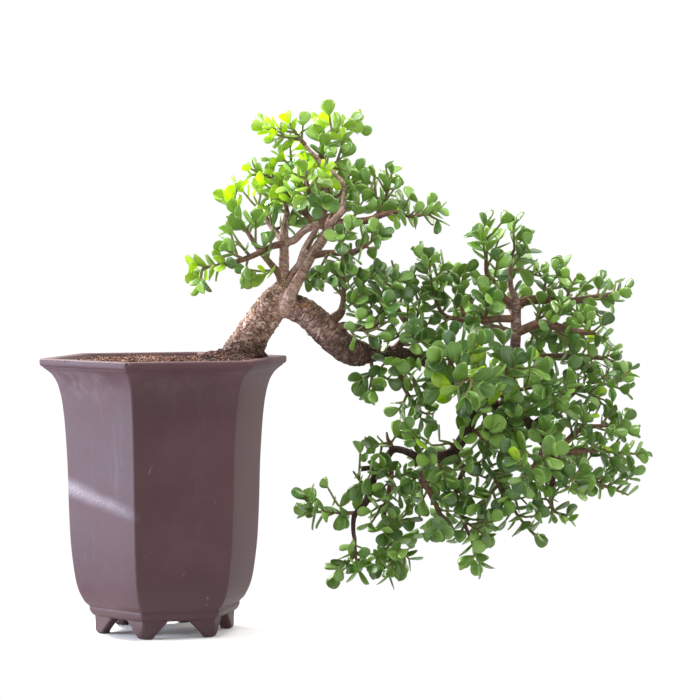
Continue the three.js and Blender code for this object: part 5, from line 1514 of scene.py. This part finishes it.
# Where the sun comes through the leaves, as seen: x, z, half width, half height, strength. Elsewhere it
# reaches a few leaves only, and in a patch it lights some more than others.
sunlight = {"reach": 1.25, "strayShare": 0.012, "stray": 0.6, "brightShare": 0.55, "bright": 1.15, "dim": 0.35}
sunPatches = [
    (64, 372, 28, 20, 1.0), (107, 399, 16, 10, 1.0), (90, 424, 24, 13, 0.85), (143, 426, 18, 14, 0.7),
    (129, 386, 14, 12, 0.7), (83, 297, 10, 9, 1.0), (43, 359, 12, 12, 0.6), (30, 308, 22, 22, 0.5),
    (95, 375, 26, 22, 0.55), (271, 238, 6, 6, 0.8), (256, 215, 8, 6, 0.9), (275, 196, 7, 7, 0.8),
    (232, 206, 8, 7, 0.7),
]


def sunOn(at, dice):
    x, z = seen(at)
    share = dice.draw(0, 1)
    most = 0.0
    for atX, atZ, wide, high, strength in sunPatches:
        away = ((x - atX) / wide) ** 2 + ((z - atZ) / high) ** 2
        most = max(most, strength * max(0, sunlight["reach"] - away))
    if most == 0:
        return sunlight["stray"] if share < sunlight["strayShare"] else 0.0
    return min(1.0, most * sunlight["bright" if share < sunlight["brightShare"] else "dim"])


# The leaves of the crown are painted lighter, as painted light from above
crown = {"from": 300, "over": 60, "paintedLight": 0.35}


def crownPaintedLight(z):
    return crown["paintedLight"] * min(max((z - crown["from"]) / crown["over"], 0), 1)


def makeLeaves(bushes):
    blades = gather(makeBlade(f"blade{index}", **shape) for index, shape in enumerate(blade["shapes"]))
    tree = leafTree(blades)
    for owner, stems in enumerate(bushes):
        leaves = [leaf for stem in stems for leaf in stem["leaves"]]
        dice = Dice("looks", owner)
        mesh = bpy.data.meshes.new("leafSpots")
        mesh.from_pydata([toFrame(leaf["root"]) for leaf in leaves], [], [])
        axes = [Matrix((leaf["along"], leaf["side"], leaf["up"])).transposed() for leaf in leaves]
        addAttribute(mesh, "leafTurn", "FLOAT_VECTOR", [tuple(matrix.to_euler()) for matrix in axes])
        addAttribute(mesh, "leafSize", "FLOAT", [leaf["length"] * mm for leaf in leaves])
        kinds = len(blade["shapes"]) - 0.001
        addAttribute(mesh, "leafShape", "INT", [int(dice.draw(0, kinds)) for leaf in leaves])
        # leaves high in the crown get a lighter tone, painted light from above
        addAttribute(mesh, "leafTone", "FLOAT", [dice.draw(0, 1) + crownPaintedLight(leaf["root"][2]) for leaf in leaves])
        middles = [leaf["root"] + leaf["along"] * leaf["length"] / 2 for leaf in leaves]
        addAttribute(mesh, "leafSun", "FLOAT", [sunOn(middle, dice) for middle in middles])
        settle(tree.apply(f"leaves_{owner + 1:02d}", mesh), "leaf", f"spray_{owner + 1:02d}")
    discard(blades)


bushes = growAll()
makeShoots(bushes)
makeLeaves(bushes)
print("leaves grown:", sum(len(stem["leaves"]) for stems in bushes for stem in stems))


# Floor, light and background: a bright white room that is dimmer behind the camera
studio = {
    "floor": 6, "floorWhite": 0.92, "glow": 1.02, "glowShare": 0.06, "nearFloor": 0.07, "farFloor": 0.15,
    "behind": 0.22, "ahead": 1.02, "turnsBright": (-0.7, 0.15), "horizon": (0.05, 0.12),
    # place, what it points at, width in metres, watts, colour
    "lamps": {
        "key": ((-900, 900, 1150), (120, 0, 230), 0.5, 62, (1, 0.98, 0.94)),
        "side": ((-1500, -60, 230), (0, 0, 140), 0.8, 54, (0.73, 0.81, 1)),
        "top": ((250, -350, 1500), (120, 0, 200), 0.6, 16, (1, 1, 1)),
        "warm": ((1400, 700, 800), (200, 0, 200), 0.5, 9.5, (1, 0.91, 0.78)),
        "fill": ((900, -1500, 900), (120, 0, 200), 1.2, 7, (1, 1, 1)),
    },
}


# The floor glows white away from the pot, so that it runs into the background
def makeFloor():
    size, white = studio["floor"], studio["floorWhite"]
    paint = Paint("paleFloor")
    middle = paint.vector("SUBTRACT", paint.place(), (potAxis, 0, 0))
    away = paint.rise(paint.vector("LENGTH", middle).out("Value"), studio["nearFloor"], studio["farFloor"])
    diffuse = paint.node("BsdfDiffuse", {}, {"Color": (white, white, white, 1)})
    glow = paint.node("Emission", {}, {"Color": (1, 1, 1, 1), "Strength": studio["glow"]})
    share = studio["glowShare"]
    shade = paint.node("MixShader", {}, {0: share + away * (1 - share), 1: diffuse, 2: glow})
    corners = [(-size, -size, 0), (size, -size, 0), (size, size, 0), (-size, size, 0)]
    return linkObject("floor", meshOf("floor", corners, [(0, 1, 2, 3)], paint.finish(shade)))


def makeWorld():
    paint = Paint("paleRoom", "worlds")
    toward = paint.split(paint.node("TexCoord", {}, {}).out("Generated"))
    low, high = studio["turnsBright"]
    fade = paint.node("MapRange", {"interpolation_type": "SMOOTHSTEP"}, {
        "Value": toward.out("Y"), "From Min": low, "From Max": high, "To Min": studio["behind"],
        "To Max": studio["ahead"]})
    # the same white just over the floor on every side
    low, high = studio["horizon"]
    band = paint.node("MapRange", {}, {
        "Value": toward.out("Z"), "From Min": low, "From Max": high, "To Min": studio["ahead"], "To Max": 0})
    sky = {"Color": (1, 1, 1, 1), "Strength": fade.math("MAXIMUM", fade, band)}
    return paint.finish(paint.node("Background", {}, sky), "OutputWorld")


def makeLamp(name, at, aim, size, watts, colour):
    light = bpy.data.lights.new(name, "AREA")
    light.shape = "DISK"
    light.size = size
    light.energy = watts
    light.color = colour
    holder = linkObject(name, light)
    holder.location = toFrame(at)
    holder.rotation_euler = (toFrame(aim) - holder.location).to_track_quat("-Z", "Y").to_euler()


makeFloor()
scene.world = makeWorld()
for name, lamp in studio["lamps"].items():
    makeLamp(name, *lamp)
scene.view_settings.view_transform = "Standard"
print("studio lit")
